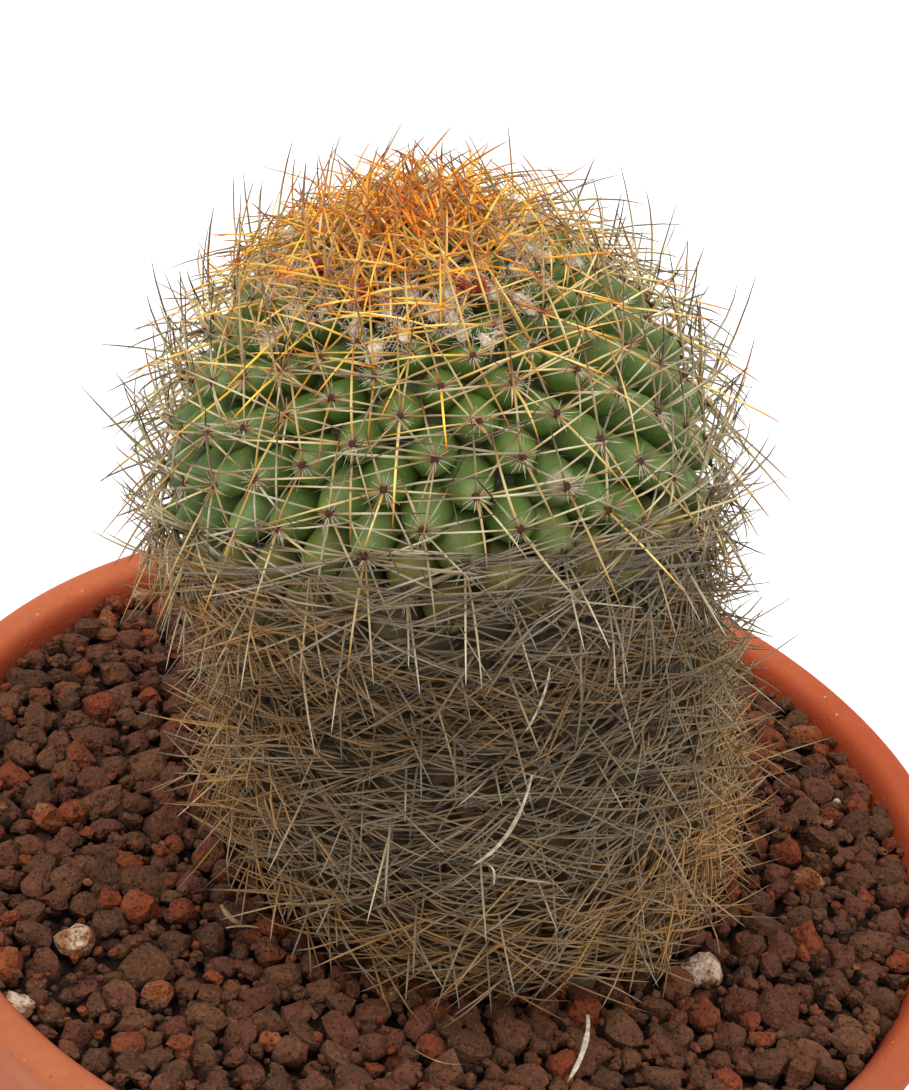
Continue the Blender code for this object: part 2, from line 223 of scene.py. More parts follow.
def stack_piece(name: str, parts: list[Stacks], finish: bpy.types.Material, faceted: bool = False) -> bpy.types.Object:
    """Joins several sets of stacks in one mesh object.

    Args:
        name: name of the piece.
        parts: the sets, which all carry the same attributes.
        finish: its material.
        faceted: whether its faces are shaded flat.

    Returns:
        The object.
    """
    points, faces, offset = [], [], 0
    for part in parts:
        points.append(part.points())
        faces += [kind + offset for kind in part.faces()]
        offset += len(points[-1])
    values = {key: np.concatenate([part.spread(key) for part in parts]) for key in parts[0].values}
    return make_mesh(name, np.concatenate(points), faces, finish, values, faceted)


def stand_for_cactus(pieces: list[bpy.types.Object]) -> None:
    """Puts pieces in the place of the cactus solid: they replace it and ride on the one body."""
    for piece in pieces:
        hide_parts("cactus")
        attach(piece, BODY)


def tubes(centres: Array, radii: Array, sides: int, values: Row | None = None, flatness: float = 1) -> Stacks:
    """Round or flattened tubes, one along each path: centre + radius · (cos u · across + sin u · over).

    Args:
        centres: points of the paths, of shape (tubes, rings + 1, 3). The last is the closed tip.
        radii: radius at each ring, of shape (tubes, rings).
        sides: points round each ring.
        values: attributes, as in Stacks.
        flatness: thickness over width.

    Returns:
        The tubes as stacks.
    """
    along = unit(centres[:, -1] - centres[:, 0])
    helper = np.where(np.abs(along[:, 2:]) < 0.8, [[0.0, 0.0, 1.0]], [[0.0, 1.0, 0.0]])
    across = unit(np.cross(along, helper))
    over = np.cross(along, across) * flatness
    spoke = spokes({"down": across, "side": over}, around(sides))
    rings = centres[:, :-1, None] + radii[:, :, None, None] * spoke[:, None]
    return Stacks(rings, centres[:, 0], centres[:, -1], values or {})


# Shader wiring


@dataclass(frozen=True)
class Wiring:
    """Adds nodes to one tree and joins their sockets."""

    tree: bpy.types.NodeTree

    def node(self, kind: str, inputs: dict | None = None, **settings: object) -> bpy.types.Node:
        """Adds one node.

        Args:
            kind: the node's type, without its ShaderNode prefix.
            inputs: sockets to join, or plain values, by the input's name or number.
            settings: properties of the node.

        Returns:
            The node.
        """
        made = self.tree.nodes.new("ShaderNode" + kind)
        for key, value in settings.items():
            setattr(made, key, value)
        for key, value in (inputs or {}).items():
            self.feed(made.inputs[key], value)
        return made

    def feed(self, target: Socket, value: object) -> None:
        """Joins a socket to the target, or sets the target's own value."""
        if isinstance(value, bpy.types.NodeSocket):
            self.tree.links.new(value, target)
        else:
            target.default_value = value

    def maths(self, operation: str, *terms: object, clamp: bool = False) -> Socket:
        """The result of a Math node on the terms."""
        return self.node("Math", dict(enumerate(terms)), operation=operation, use_clamp=clamp).outputs[0]

    def times(self, first: object, second: object, clamp: bool = False) -> Socket:
        """The product of two values."""
        return self.maths("MULTIPLY", first, second, clamp=clamp)

    def plus(self, first: object, second: object, clamp: bool = False) -> Socket:
        """The sum of two values."""
        return self.maths("ADD", first, second, clamp=clamp)

    def minus(self, first: object, second: object, clamp: bool = False) -> Socket:
        """The first value less the second."""
        return self.maths("SUBTRACT", first, second, clamp=clamp)

    def between(self, value: object, low: float, high: float) -> Socket:
        """A value eased from 0 at low to 1 at high."""
        return self.node("MapRange", {0: value, 1: low, 2: high}, interpolation_type="SMOOTHSTEP").outputs[0]

    def attribute(self, name: str) -> Socket:
        """The vertex attribute of that name."""
        return self.node("Attribute", attribute_name=name).outputs["Fac"]

    def mix(self, share: object, first: object, second: object) -> Socket:
        """Two colours mixed by a share, 0 for the first."""
        return self.node("Mix", {0: share, 6: first, 7: second}, data_type="RGBA").outputs[2]

    def ramp(self, share: object, stops: Ramp) -> Socket:
        """A colour ramp through (place, colour) stops."""
        made = self.node("ValToRGB", {0: share})
        elements = made.color_ramp.elements
        while len(elements) < len(stops):
            elements.new(0.5)
        for element, (place, colour) in zip(elements, stops):
            element.position, element.color = place, colour
        return made.outputs[0]


def effect_tree(name: str, inputs: dict[str, float], output: str) -> tuple[Wiring, dict[str, Socket]]:
    """Starts a shared effect.

    Args:
        name: name of the node group.
        inputs: its inputs with their values, after the vector Coordinates.
        output: name of its one output.

    Returns:
        The wiring inside it, and its inputs by name. The output's socket has the key "out".
    """
    tree = bpy.data.node_groups.new(name, "ShaderNodeTree")
    tree.interface.new_socket(name="Coordinates", in_out="INPUT", socket_type="NodeSocketVector")
    for key, value in inputs.items():
        tree.interface.new_socket(name=key, in_out="INPUT", socket_type="NodeSocketFloat").default_value = value
    tree.interface.new_socket(name=output, in_out="OUTPUT", socket_type="NodeSocketFloat")
    start, end = tree.nodes.new("NodeGroupInput"), tree.nodes.new("NodeGroupOutput")
    return Wiring(tree), {**dict(start.outputs.items()), "out": end.inputs[output]}


def cloudy_mottling() -> bpy.types.NodeTree:
    """Cloudy change of tone: (noise − ½) · Contrast + ½, held between 0 and 1."""
    inner, ends = effect_tree("cloudy_mottling", {"Scale": 50, "Contrast": 2}, "Mask")
    inputs = {"Vector": ends["Coordinates"], "Scale": ends["Scale"], "Detail": 5, "Roughness": 0.62}
    noise = inner.node("TexNoise", inputs).outputs[0]
    inner.feed(ends["out"], inner.plus(inner.times(inner.minus(noise, 0.5), ends["Contrast"]), 0.5, True))
    return inner.tree


def scattered_specks() -> bpy.types.NodeTree:
    """Scattered dots: 1 within Size of a cell's point, in the Share of cells that have one."""
    inner, ends = effect_tree("scattered_specks", {"Scale": 1000, "Size": 0.2, "Share": 0.5}, "Mask")
    cells = inner.node("TexVoronoi", {"Vector": ends["Coordinates"], "Scale": ends["Scale"]})
    dot = inner.times(inner.minus(ends["Size"], cells.outputs["Distance"]), 9.0, True)
    random = inner.node("SeparateColor", {0: cells.outputs["Color"]}).outputs[0]
    inner.feed(ends["out"], inner.times(dot, inner.maths("LESS_THAN", random, ends["Share"])))
    return inner.tree


def rough_grain() -> bpy.types.NodeTree:
    """Rough relief: noise at Scale, less open pores of depth Pits."""
    inner, ends = effect_tree("rough_grain", {"Scale": 800, "Pits": 0.5}, "Height")
    inputs = {"Vector": ends["Coordinates"], "Scale": ends["Scale"]}
    noise = inner.node("TexNoise", inputs | {"Detail": 7, "Roughness": 0.7}).outputs[0]
    pores = inner.node("TexVoronoi", inputs).outputs["Distance"]
    hollow = inner.minus(1.0, inner.times(pores, 2.2, True))
    inner.feed(ends["out"], inner.minus(noise, inner.times(hollow, ends["Pits"])))
    return inner.tree


@dataclass(frozen=True)
class Effects:
    """The effects that several materials share."""

    mottling: bpy.types.NodeTree = field(default_factory=cloudy_mottling)
    specks: bpy.types.NodeTree = field(default_factory=scattered_specks)
    grain: bpy.types.NodeTree = field(default_factory=rough_grain)


@dataclass(frozen=True)
class Coat(Wiring):
    """The wiring of one new material, whose effects are laid out on its Object coordinates."""

    made: bpy.types.Material
    effects: Effects
    relief: float
    place: Socket

    def effect(self, group: bpy.types.NodeTree, scale: float, **inputs: float) -> Socket:
        """The output of a shared effect with its own values."""
        made = self.node("Group", {}, node_tree=group)
        for key, value in {"Coordinates": self.place, "Scale": scale, **inputs}.items():
            self.feed(made.inputs[key], value)
        return made.outputs[0]

    def cloud(self, scale: float, contrast: float) -> Socket:
        """A mask of soft clouds."""
        return self.effect(self.effects.mottling, scale, Contrast=contrast)

    def dots(self, scale: float, size: float, share: float) -> Socket:
        """A mask of scattered dots."""
        return self.effect(self.effects.specks, scale, Size=size, Share=share)

    def grit(self, scale: float, pits: float) -> Socket:
        """The height of a rough, pitted surface."""
        return self.effect(self.effects.grain, scale, Pits=pits)

    def axes(self) -> tuple[Socket, ...]:
        """X, Y and Z of the place."""
        return tuple(self.node("SeparateXYZ", {0: self.place}).outputs)

    def lay(self, ground: object, colour: object, mask: object, amount: object) -> Socket:
        """A colour laid over the ground by a mask times an amount."""
        return self.mix(self.times(mask, amount), ground, colour)

    def close(self, colour: Socket, height: Socket, strength: float = 1, **others: Socket) -> bpy.types.Material:
        """Joins colour and relief to the shader, and any other input by name.

        Args:
            colour: the base colour.
            height: height of the relief, from 0 to 1.
            strength: how much of the relief shows.
            others: other inputs of the shader.

        Returns:
            The finished material.
        """
        bump = self.node("Bump", {"Height": height, "Distance": self.relief, "Strength": strength})
        shader = self.tree.nodes["Principled BSDF"]
        for key, value in {"Base Color": colour, "Normal": bump.outputs[0], **others}.items():
            self.feed(shader.inputs[key], value)
        return self.made


# Finishes


@dataclass(frozen=True)
class Finish:
    """A material in the making: its name, the values on its shader, and how deep its relief is."""

    name: str
    effects: Effects
    roughness: float = 0.8
    relief: float = 0.3 * MM
    specular: float = 0.3
    glow_depth: float = 0.0

    def start(self) -> Coat:
        """A new material with its uniform values set on the shader's own sockets."""
        made = bpy.data.materials.new(self.name)
        made.use_nodes = True
        values = {
            "Roughness": self.roughness,
            "Specular IOR Level": self.specular,
            "Subsurface Weight": self.glow_depth,
            "Subsurface Radius": (1.2 * MM, 1.5 * MM, 0.5 * MM),
            "Subsurface Scale": 1.0,
        }
        for key, value in values.items():
            made.node_tree.nodes["Principled BSDF"].inputs[key].default_value = value
        place = Wiring(made.node_tree).node("TexCoord").outputs["Object"]
        return Coat(made.node_tree, made, self.effects, self.relief, place)


@dataclass(frozen=True)
class TerracottaFinish(Finish):
    """Dry fired clay: salmon orange and chalky below, with painted shade: darker and redder on the inner wall and the
    right side, and browner in front.

    The ranges give where a change starts and where it is full.
    """

    pale: Colour = shade(188, 106, 66)
    warm: Colour = shade(172, 82, 44)
    deep: Colour = shade(154, 54, 14)
    bloom: Colour = shade(212, 146, 108)
    speck: Colour = shade(120, 58, 36)
    front_shade: Colour = shade(122, 84, 58)
    shaded_side_x: Pair = (25 * MM, 85 * MM)
    front_shade_x: Pair = (-70 * MM, 30 * MM)
    front_shade_y: Pair = (-15 * MM, -70 * MM)
    chalk_depth: float = 12 * MM

    def material(self, inner_radius: float, rim_height: float) -> bpy.types.Material:
        """The clay.

        Args:
            inner_radius: radius inside which the wall is the inner one, darkened with painted shade.
            rim_height: height of the rim's top.

        Returns:
            The material.
        """
        coat = self.start()
        clay = coat.mix(coat.cloud(34, 2.4), self.warm, self.pale)
        clay = coat.lay(clay, self.deep, coat.cloud(420, 1.8), 0.35)
        x, y, z = coat.axes()
        reach = coat.maths("SQRT", coat.plus(coat.times(x, x), coat.times(y, y)))
        # painted shade: the inner wall, which lies in shade, is laid over with the deep colour
        inside = coat.between(reach, inner_radius + 1.6 * MM, inner_radius - 0.8 * MM)
        clay = coat.lay(clay, self.deep, inside, 0.75)
        # painted shade: the right side, which the light reaches less, is laid over with the deep colour
        clay = coat.lay(clay, self.deep, coat.between(x, *self.shaded_side_x), 0.6)
        # painted shade: a brownish darkening over the front of the pot, stronger towards the right
        right = coat.maths("MULTIPLY_ADD", coat.between(x, *self.front_shade_x), 0.22, 0.26)
        clay = coat.lay(clay, self.front_shade, coat.between(y, *self.front_shade_y), right)
        outside = coat.between(reach, inner_radius + 4 * MM, inner_radius + 7 * MM)
        lower = coat.between(z, rim_height, rim_height - self.chalk_depth)
        clay = coat.lay(clay, self.bloom, coat.times(outside, coat.cloud(70, 3.2)), coat.times(lower, 0.8))
        clay = coat.lay(clay, self.speck, coat.dots(620, 0.2, 0.22), 0.7)
        clay = coat.mix(coat.dots(480, 0.16, 0.1), clay, self.bloom)
        return coat.close(clay, coat.grit(900, 0.5), 0.6)


@dataclass(frozen=True)
class LavaFinish(Finish):
    """Porous volcanic stone. Each stone's tone runs from chocolate through red brown to ochre and pale, with painted
    shade laid over its lower parts.
    """

    tones: Ramp = ramp_of(
        (0.0, 80, 52, 38), (0.2, 102, 66, 42), (0.36, 110, 62, 44), (0.52, 116, 78, 52), (0.66, 128, 66, 38),
        (0.8, 142, 66, 34), (0.9, 152, 86, 46), (0.96, 166, 122, 82), (1.0, 226, 194, 168),
    )
    pore_and_shade: Colour = shade(30, 20, 17)
    grain: Colour = shade(160, 122, 94)
    shade_start_depth: float = 0.9 * MM
    shade_full_depth: float = 4.0 * MM

    def material(self, top: float) -> bpy.types.Material:
        """The stone, which reads the attribute stone_tone and takes painted shade with its depth under the layer's top.
        """
        coat = self.start()
        shift = coat.times(coat.minus(coat.cloud(420, 1.7), 0.5), 0.26)
        stone = coat.ramp(coat.plus(coat.attribute("stone_tone"), shift), self.tones)
        stone = coat.lay(stone, self.pore_and_shade, coat.cloud(1100, 2.6), 0.5)
        stone = coat.lay(stone, self.grain, coat.dots(1900, 0.4, 0.3), 0.2)
        stone = coat.lay(stone, self.pore_and_shade, coat.dots(1300, 0.38, 0.5), 0.65)
        # painted shade: the pore colour laid over the stone by its depth under the gravel's top, where the gaps between
        # stones fall in shade
        depth = coat.between(coat.axes()[2], top - self.shade_start_depth, top - self.shade_full_depth)
        return coat.close(coat.lay(stone, self.pore_and_shade, depth, 0.84), coat.grit(1100, 0.7))


@dataclass(frozen=True)
class EarthFinish(Finish):
    """Crumbly ground: a dark tone and a lighter one, with pale bits."""

    dark: Colour = shade(26, 18, 15)
    light: Colour = shade(54, 38, 30)
    bits: Colour = shade(120, 96, 72)

    def material(self) -> bpy.types.Material:
        """The ground."""
        coat = self.start()
        ground = coat.mix(coat.cloud(500, 2.4), self.dark, self.light)
        return coat.close(coat.mix(coat.dots(700, 0.24, 0.12), ground, self.bits), coat.grit(700, 0.6))


@dataclass(frozen=True)
class SkinFinish(Finish):
    """Tubercle skin: soft green with pale pinpricks, yellower by the areole, olive then corky with age, and darkened
    with painted shade down into the valleys between tubercles.
    """

    gap: Colour = shade(42, 38, 16)
    shadow: Colour = shade(58, 73, 27)
    green: Colour = shade(86, 113, 42)
    tip: Colour = shade(124, 138, 74)
    olive: Colour = shade(120, 114, 46)
    cork: Colour = shade(96, 78, 48)
    dark_cork_and_shade: Colour = shade(54, 43, 27)
    speck: Colour = shade(160, 178, 118)
    scar: Colour = shade(206, 200, 176)
    olive_age: Pair = (0.0, 0.3)
    cork_age: Pair = (0.62, 0.95)

    def material(self) -> bpy.types.Material:
        """The skin, which reads the attributes age, rise, tone and scar; rise sets the painted shade of the valleys."""
        coat = self.start()
        rise, age, tone = (coat.attribute(name) for name in ("rise", "age", "tone"))
        cloud = coat.cloud(220, 1.6)
        # painted shade: gap and shadow darken the skin towards the valleys between tubercles, where shade falls
        rising = ((0.0, self.gap), (0.3, self.shadow), (0.6, self.green), (0.85, self.green), (1.0, self.tip))
        lit = coat.lay(coat.ramp(rise, rising), self.tip, coat.times(tone, cloud), 0.55)
        lit = coat.lay(lit, self.shadow, coat.minus(1.0, tone), 0.22)
        lit = coat.lay(lit, self.speck, coat.dots(2600, 0.3, 0.5), 0.4)
        # painted shade: old corky skin darkens towards the valleys; the same dark colour also mottles the cork for real
        husk = coat.ramp(rise, ((0.0, self.dark_cork_and_shade), (0.6, self.cork), (1.0, self.cork)))
        # painted shade: belt tubercles darken towards the valleys with the gap colour
        olive = coat.mix(coat.between(rise, 0.1, 0.8), self.gap, self.olive)
        turning = coat.mix(coat.between(age, *self.olive_age), lit, olive)
        skin = coat.mix(coat.between(age, *self.cork_age), turning, coat.mix(cloud, husk, self.dark_cork_and_shade))
        skin = coat.mix(coat.attribute("scar"), skin, coat.mix(cloud, self.scar, self.cork))
        roughness = coat.plus(coat.times(age, 0.3), coat.plus(0.42, coat.times(cloud, 0.12)))
        return coat.close(skin, coat.grit(1500, 0.3), 0.5, Roughness=roughness)


@dataclass(frozen=True)
class SpineFinish(Finish):
    """Horny spines: orange in the heart of the crown, golden round it, straw on the head, grey or tan below."""

    ember: Ramp = ramp_of(
        (0.0, 170, 76, 6), (0.28, 255, 158, 20), (0.58, 238, 124, 6), (0.82, 172, 64, 2), (1.0, 104, 32, 2)
    )
    gold: Ramp = ramp_of(
        (0.0, 206, 106, 12), (0.16, 255, 188, 36), (0.52, 255, 214, 84), (0.78, 244, 152, 26), (0.9, 166, 70, 6),
        (1.0, 92, 32, 6),
    )
    straw: Ramp = ramp_of(
        (0.0, 112, 66, 36), (0.1, 162, 140, 98), (0.36, 202, 197, 166), (0.56, 176, 165, 136), (0.72, 112, 94, 80),
        (0.85, 58, 50, 52), (1.0, 34, 32, 42),
    )
    grey: Ramp = ramp_of(
        (0.0, 64, 51, 39), (0.25, 123, 109, 88), (0.6, 97, 86, 72), (0.86, 60, 50, 49), (1.0, 40, 34, 38)
    )
    tan: Ramp = ramp_of((0.0, 96, 66, 34), (0.3, 174, 128, 64), (0.7, 154, 106, 52), (1.0, 74, 52, 36))
    bleached: Ramp = ramp_of((0.0, 120, 100, 70), (0.5, 178, 164, 132), (1.0, 218, 208, 182))
    scurf: Colour = shade(226, 216, 196)
    blond: Colour = shade(255, 228, 168)
    rust: Colour = shade(172, 88, 26)
    dimmest: float = 0.66

    def material(self) -> bpy.types.Material:
        """The spines, which read the attributes along, age, gilt, warmth, pale and tone."""
        coat = self.start()
        names = ("along", "age", "gilt", "warmth", "pale", "tone")
        along, age, gilt, warmth, pale, tone = (coat.attribute(name) for name in names)
        golden = coat.mix(gilt, coat.ramp(along, self.straw), coat.ramp(along, self.gold))
        blond = coat.times(coat.between(tone, 0.72, 0.95), coat.between(along, 0.85, 0.35))
        golden = coat.lay(golden, self.blond, blond, coat.times(gilt, 0.5, True))
        golden = coat.lay(golden, self.rust, coat.between(tone, 0.5, 0.05), coat.times(gilt, 0.6, True))
        young = coat.mix(coat.minus(gilt, 1.0, True), golden, coat.ramp(along, self.ember))
        old = coat.mix(warmth, coat.ramp(along, self.grey), coat.ramp(along, self.tan))
        old = coat.mix(pale, old, coat.ramp(along, self.bleached))
        dim = coat.plus(coat.plus(self.dimmest, coat.times(tone, 0.56)), coat.times(gilt, 0.12))
        horn = coat.node("HueSaturation", {"Value": dim, "Color": coat.mix(age, young, old)}).outputs[0]
        scurf = coat.cloud(1900, 3.0)
        horn = coat.lay(horn, self.scurf, scurf, coat.plus(0.01, coat.times(age, 0.1)))
        return coat.close(horn, scurf, 0.5)


@dataclass(frozen=True)
class FibreFinish(Finish):
    """Wool, bristle, felt, dry petal, paper or floor: one tone clouded by another."""

    light: Colour = shade(236, 226, 200)
    dark: Colour = shade(196, 170, 128)
    scale: float = 900

    def material(self) -> bpy.types.Material:
        """The clouded finish, with a fine relief."""
        coat = self.start()
        colour = coat.mix(coat.cloud(self.scale, 2.2), self.light, self.dark)
        return coat.close(colour, coat.grit(self.scale * 2, 0.3), 0.6)


# Camera, lights and floor


def stand(name: str, data: bpy.types.ID, across: Array, up: Array, back: Array, place: Array) -> bpy.types.Object:
    """Stands a camera or a light at a place, with its own X, Y and Z along across, up and back."""
    matrix = np.eye(4)
    matrix[:3] = np.column_stack([across, up, back, place])
    made = bpy.data.objects.new(name, data)
    made.matrix_world = Matrix(matrix.tolist())
    bpy.context.scene.collection.objects.link(made)
    return made


@dataclass(frozen=True)
class Framing:
    """The photograph's view: a plain camera that looks down on the pot from the front and is turned a little.

    The lens is measured in pixels of a 909 by 1090 picture.
    """

    width: float = 909
    height: float = 1090
    lens: float = 3500
    elevation: float = math.radians(39.03)
    roll: float = math.radians(10.0)
    distance: float = 583.1 * MM
    shift_right: float = -22.46
    shift_down: float = 296.86
    target: tuple[float, float, float] = (0, 0, 87 * MM)

    def axes(self) -> Array:
        """Rows are the picture's right, its down and its depth, in the object's frame."""
        cos, sin = math.cos, math.sin
        e, r = self.elevation, self.roll
        yaw, pitch = math.atan2(self.shift_right, self.lens), math.atan2(self.shift_down, self.lens)
        basis = np.array([[1, 0, 0], [0, -sin(e), -cos(e)], [0, cos(e), -sin(e)]])
        rolled = np.array([[cos(r), -sin(r), 0], [sin(r), cos(r), 0], [0, 0, 1]])
        yawed = np.array([[cos(yaw), 0, sin(yaw)], [0, 1, 0], [-sin(yaw), 0, cos(yaw)]])
        pitched = np.array([[1, 0, 0], [0, cos(pitch), sin(pitch)], [0, -sin(pitch), cos(pitch)]])
        return pitched @ yawed @ rolled @ basis

    def eye(self) -> Array:
        """Where the camera stands."""
        e = self.elevation
        return np.array(self.target) - self.distance * np.array([0, math.cos(e), -math.sin(e)])

    def pixels(self, points: Array) -> Array:
        """Where points of the object show in the picture."""
        seen = (points - self.eye()) @ self.axes().T
        return self.lens * seen[..., :2] / seen[..., 2:] + np.array([self.width, self.height]) / 2

    def ray(self, pixel: Pair) -> Array:
        """The unit direction from the eye through a pixel."""
        x, y = (np.array(pixel) - np.array([self.width, self.height]) / 2) / self.lens
        return unit(np.array([x, y, 1.0]) @ self.axes())

    def make_camera(self) -> None:
        """Makes the scene's camera."""
        data = bpy.data.cameras.new("photo_camera")
        data.sensor_width = 36
        data.lens = self.lens / max(self.width, self.height) * data.sensor_width
        data.clip_start, data.clip_end = 0.02, 20
        right, down, depth = self.axes()
        bpy.context.scene.camera = stand("photo_camera", data, right, -down, -depth, self.eye())


@dataclass(frozen=True)
class SoftLight:
    """One square studio light that points at the plant."""

    name: str
    place: tuple[float, float, float]
    side: float
    power: float
    aim: tuple[float, float, float] = (0, 0, 0.12)

    def make(self) -> None:
        """Makes the light."""
        data = bpy.data.lights.new(self.name, "AREA")
        data.size, data.energy = self.side, self.power
        place = np.array(self.place)
        back = unit(place - np.array(self.aim))
        across = unit(np.cross([0.0, 0.0, 1.0], back))
        stand(self.name, data, across, np.cross(back, across), back, place)


@dataclass(frozen=True)
class Studio:
    """A pale floor under a white sky, with one large soft light up on the left and a weak one on the right."""

    effects: Effects
    floor_half: float = 2.5
    sky: float = 0.9
    lights: tuple[SoftLight, ...] = (
        SoftLight("key_light", (-0.55, -0.1, 1.3), 0.8, 11.0),
        SoftLight("fill_light", (0.8, 0.0, 1.0), 0.9, 6.0),
    )

    def make(self) -> None:
        """Makes the floor, the sky and the lights."""
        tones = shade(252, 252, 251), shade(247, 247, 246)
        finish = FibreFinish("pale_floor", self.effects, 0.9, 0.05 * MM, 0.1, 0, *tones, 30)
        half = self.floor_half
        corners = np.array([[-half, -half, 0], [half, -half, 0], [half, half, 0], [-half, half, 0]])
        floor = make_mesh("pale_floor", corners, [np.array([[0, 1, 2, 3]])], finish.material())
        world = bpy.data.worlds.new("white_sky")
        bpy.context.scene.world = world
        world.use_nodes = True
        sky = world.node_tree.nodes["Background"].inputs
        sky[0].default_value, sky[1].default_value = (1, 1, 1, 1), self.sky
        for light in self.lights:
            light.make()
        bpy.context.scene.view_settings.view_transform = "Standard"


# Pot, soil and gravel


@dataclass(frozen=True)
class TerracottaPot:
    """A thrown bowl with a collar under its rounded rim and one drain hole."""

    effects: Effects
    radius: float = 90 * MM
    height: float = 90 * MM
    foot_radius: float = 59 * MM
    wall: float = 6.5 * MM
    floor: float = 8 * MM
    rim_width: float = 7 * MM
    collar_height: float = 24 * MM
    collar_step: float = 2.5 * MM
    drain_radius: float = 9 * MM
    segments: int = 240
    wobble: float = 0.12 * MM

    def inner_radius(self, height: Array | float) -> Array | float:
        """Radius of the inner wall at a height over the ground: it grows evenly from the floor to the rim."""
        foot, top = self.foot_radius - self.wall, self.radius - self.rim_width
        return foot + (top - foot) * (height - self.floor) / (self.height - self.floor)

    def profile(self) -> Array:
        """The wall's section as a closed line of (radius, height), each corner rounded by its own radius."""
        under = self.radius - self.collar_step
        slope = (under - self.foot_radius) / self.height
        collar_foot = self.height - self.collar_height
        low = self.foot_radius + slope * collar_foot
        corners = (
            (self.drain_radius, 0.0, 0.8 * MM),
            (self.foot_radius, 0.0, 2.0 * MM),
            (low, collar_foot, 1.2 * MM),
            (low + self.collar_step, collar_foot + 1.2 * MM, 1.2 * MM),
            (self.radius, self.height, 3.4 * MM),
            (float(self.inner_radius(self.height)), self.height, 2.6 * MM),
            (float(self.inner_radius(self.floor)), self.floor, 4.0 * MM),
            (self.drain_radius, self.floor, 0.8 * MM),
        )
        return self.rounded(np.array(corners))

    def rounded(self, corners: Array, arc_points: int = 9, line_points: int = 7) -> Array:
        """Rounds the corners of a closed line with quadratic curves: (1−t)²·before + 2t(1−t)·corner + t²·after.

        Args:
            corners: rows of across, up and the length that the curve takes from either side.
            arc_points: points in each curve.
            line_points: points in each straight line.

        Returns:
            Points of shape (points, 2).
        """
        place, cut = corners[:, :2], corners[:, 2:]
        before = place + unit(np.roll(place, 1, 0) - place) * cut
        after = place + unit(np.roll(place, -1, 0) - place) * cut
        t = np.linspace(0, 1, arc_points)[None, :, None]
        arcs = (1 - t) ** 2 * before[:, None] + 2 * t * (1 - t) * place[:, None] + t**2 * after[:, None]
        s = np.linspace(0, 1, line_points + 2)[None, 1:-1, None]
        lines = after[:, None] * (1 - s) + np.roll(before, -1, 0)[:, None] * s
        return np.concatenate([arcs, lines], 1).reshape(-1, 2)

    def build(self) -> None:
        """Turns the section round Z: (r cos u, r sin u, z), with r and z swayed a little as by hand."""
        radius, height = self.profile().T[:, :, None]
        turn = around(self.segments)
        share = height / self.height
        waves = np.sin(2 * turn + 0.6) + 0.6 * np.sin(5 * turn + 2.0) + 0.4 * np.sin(11 * turn)
        sway = self.wobble * share * waves
        radius = radius - np.abs(sway) * 0.5 - self.wobble * 0.4 * share
        lifted = height - 0.25 * np.abs(sway) * share
        points = np.stack([radius * np.cos(turn), radius * np.sin(turn), lifted], -1)
        finish = TerracottaFinish("terracotta_clay", self.effects, 0.82, 0.25 * MM)
        quads = wrapped_quads(len(points), self.segments, True)[:, ::-1]
        skin = finish.material(float(self.inner_radius(self.height)), self.height)
        piece = make_mesh("terracotta_bowl", points.reshape(-1, 3), [quads], skin)
        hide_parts("pot")
        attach(piece, BODY)


class StoneSize(Enum):
    """Grades of lava chip: least and greatest length, how many are tried, and depth under the top."""

    COBBLE = (6.6 * MM, 8.8 * MM, 200, 0.3 * MM)
    CHIP = (4.4 * MM, 6.8 * MM, 5200, 0.8 * MM)
    PEA = (2.8 * MM, 4.4 * MM, 9000, 1.3 * MM)
    CRUMB = (1.2 * MM, 2.4 * MM, 5200, 1.8 * MM)


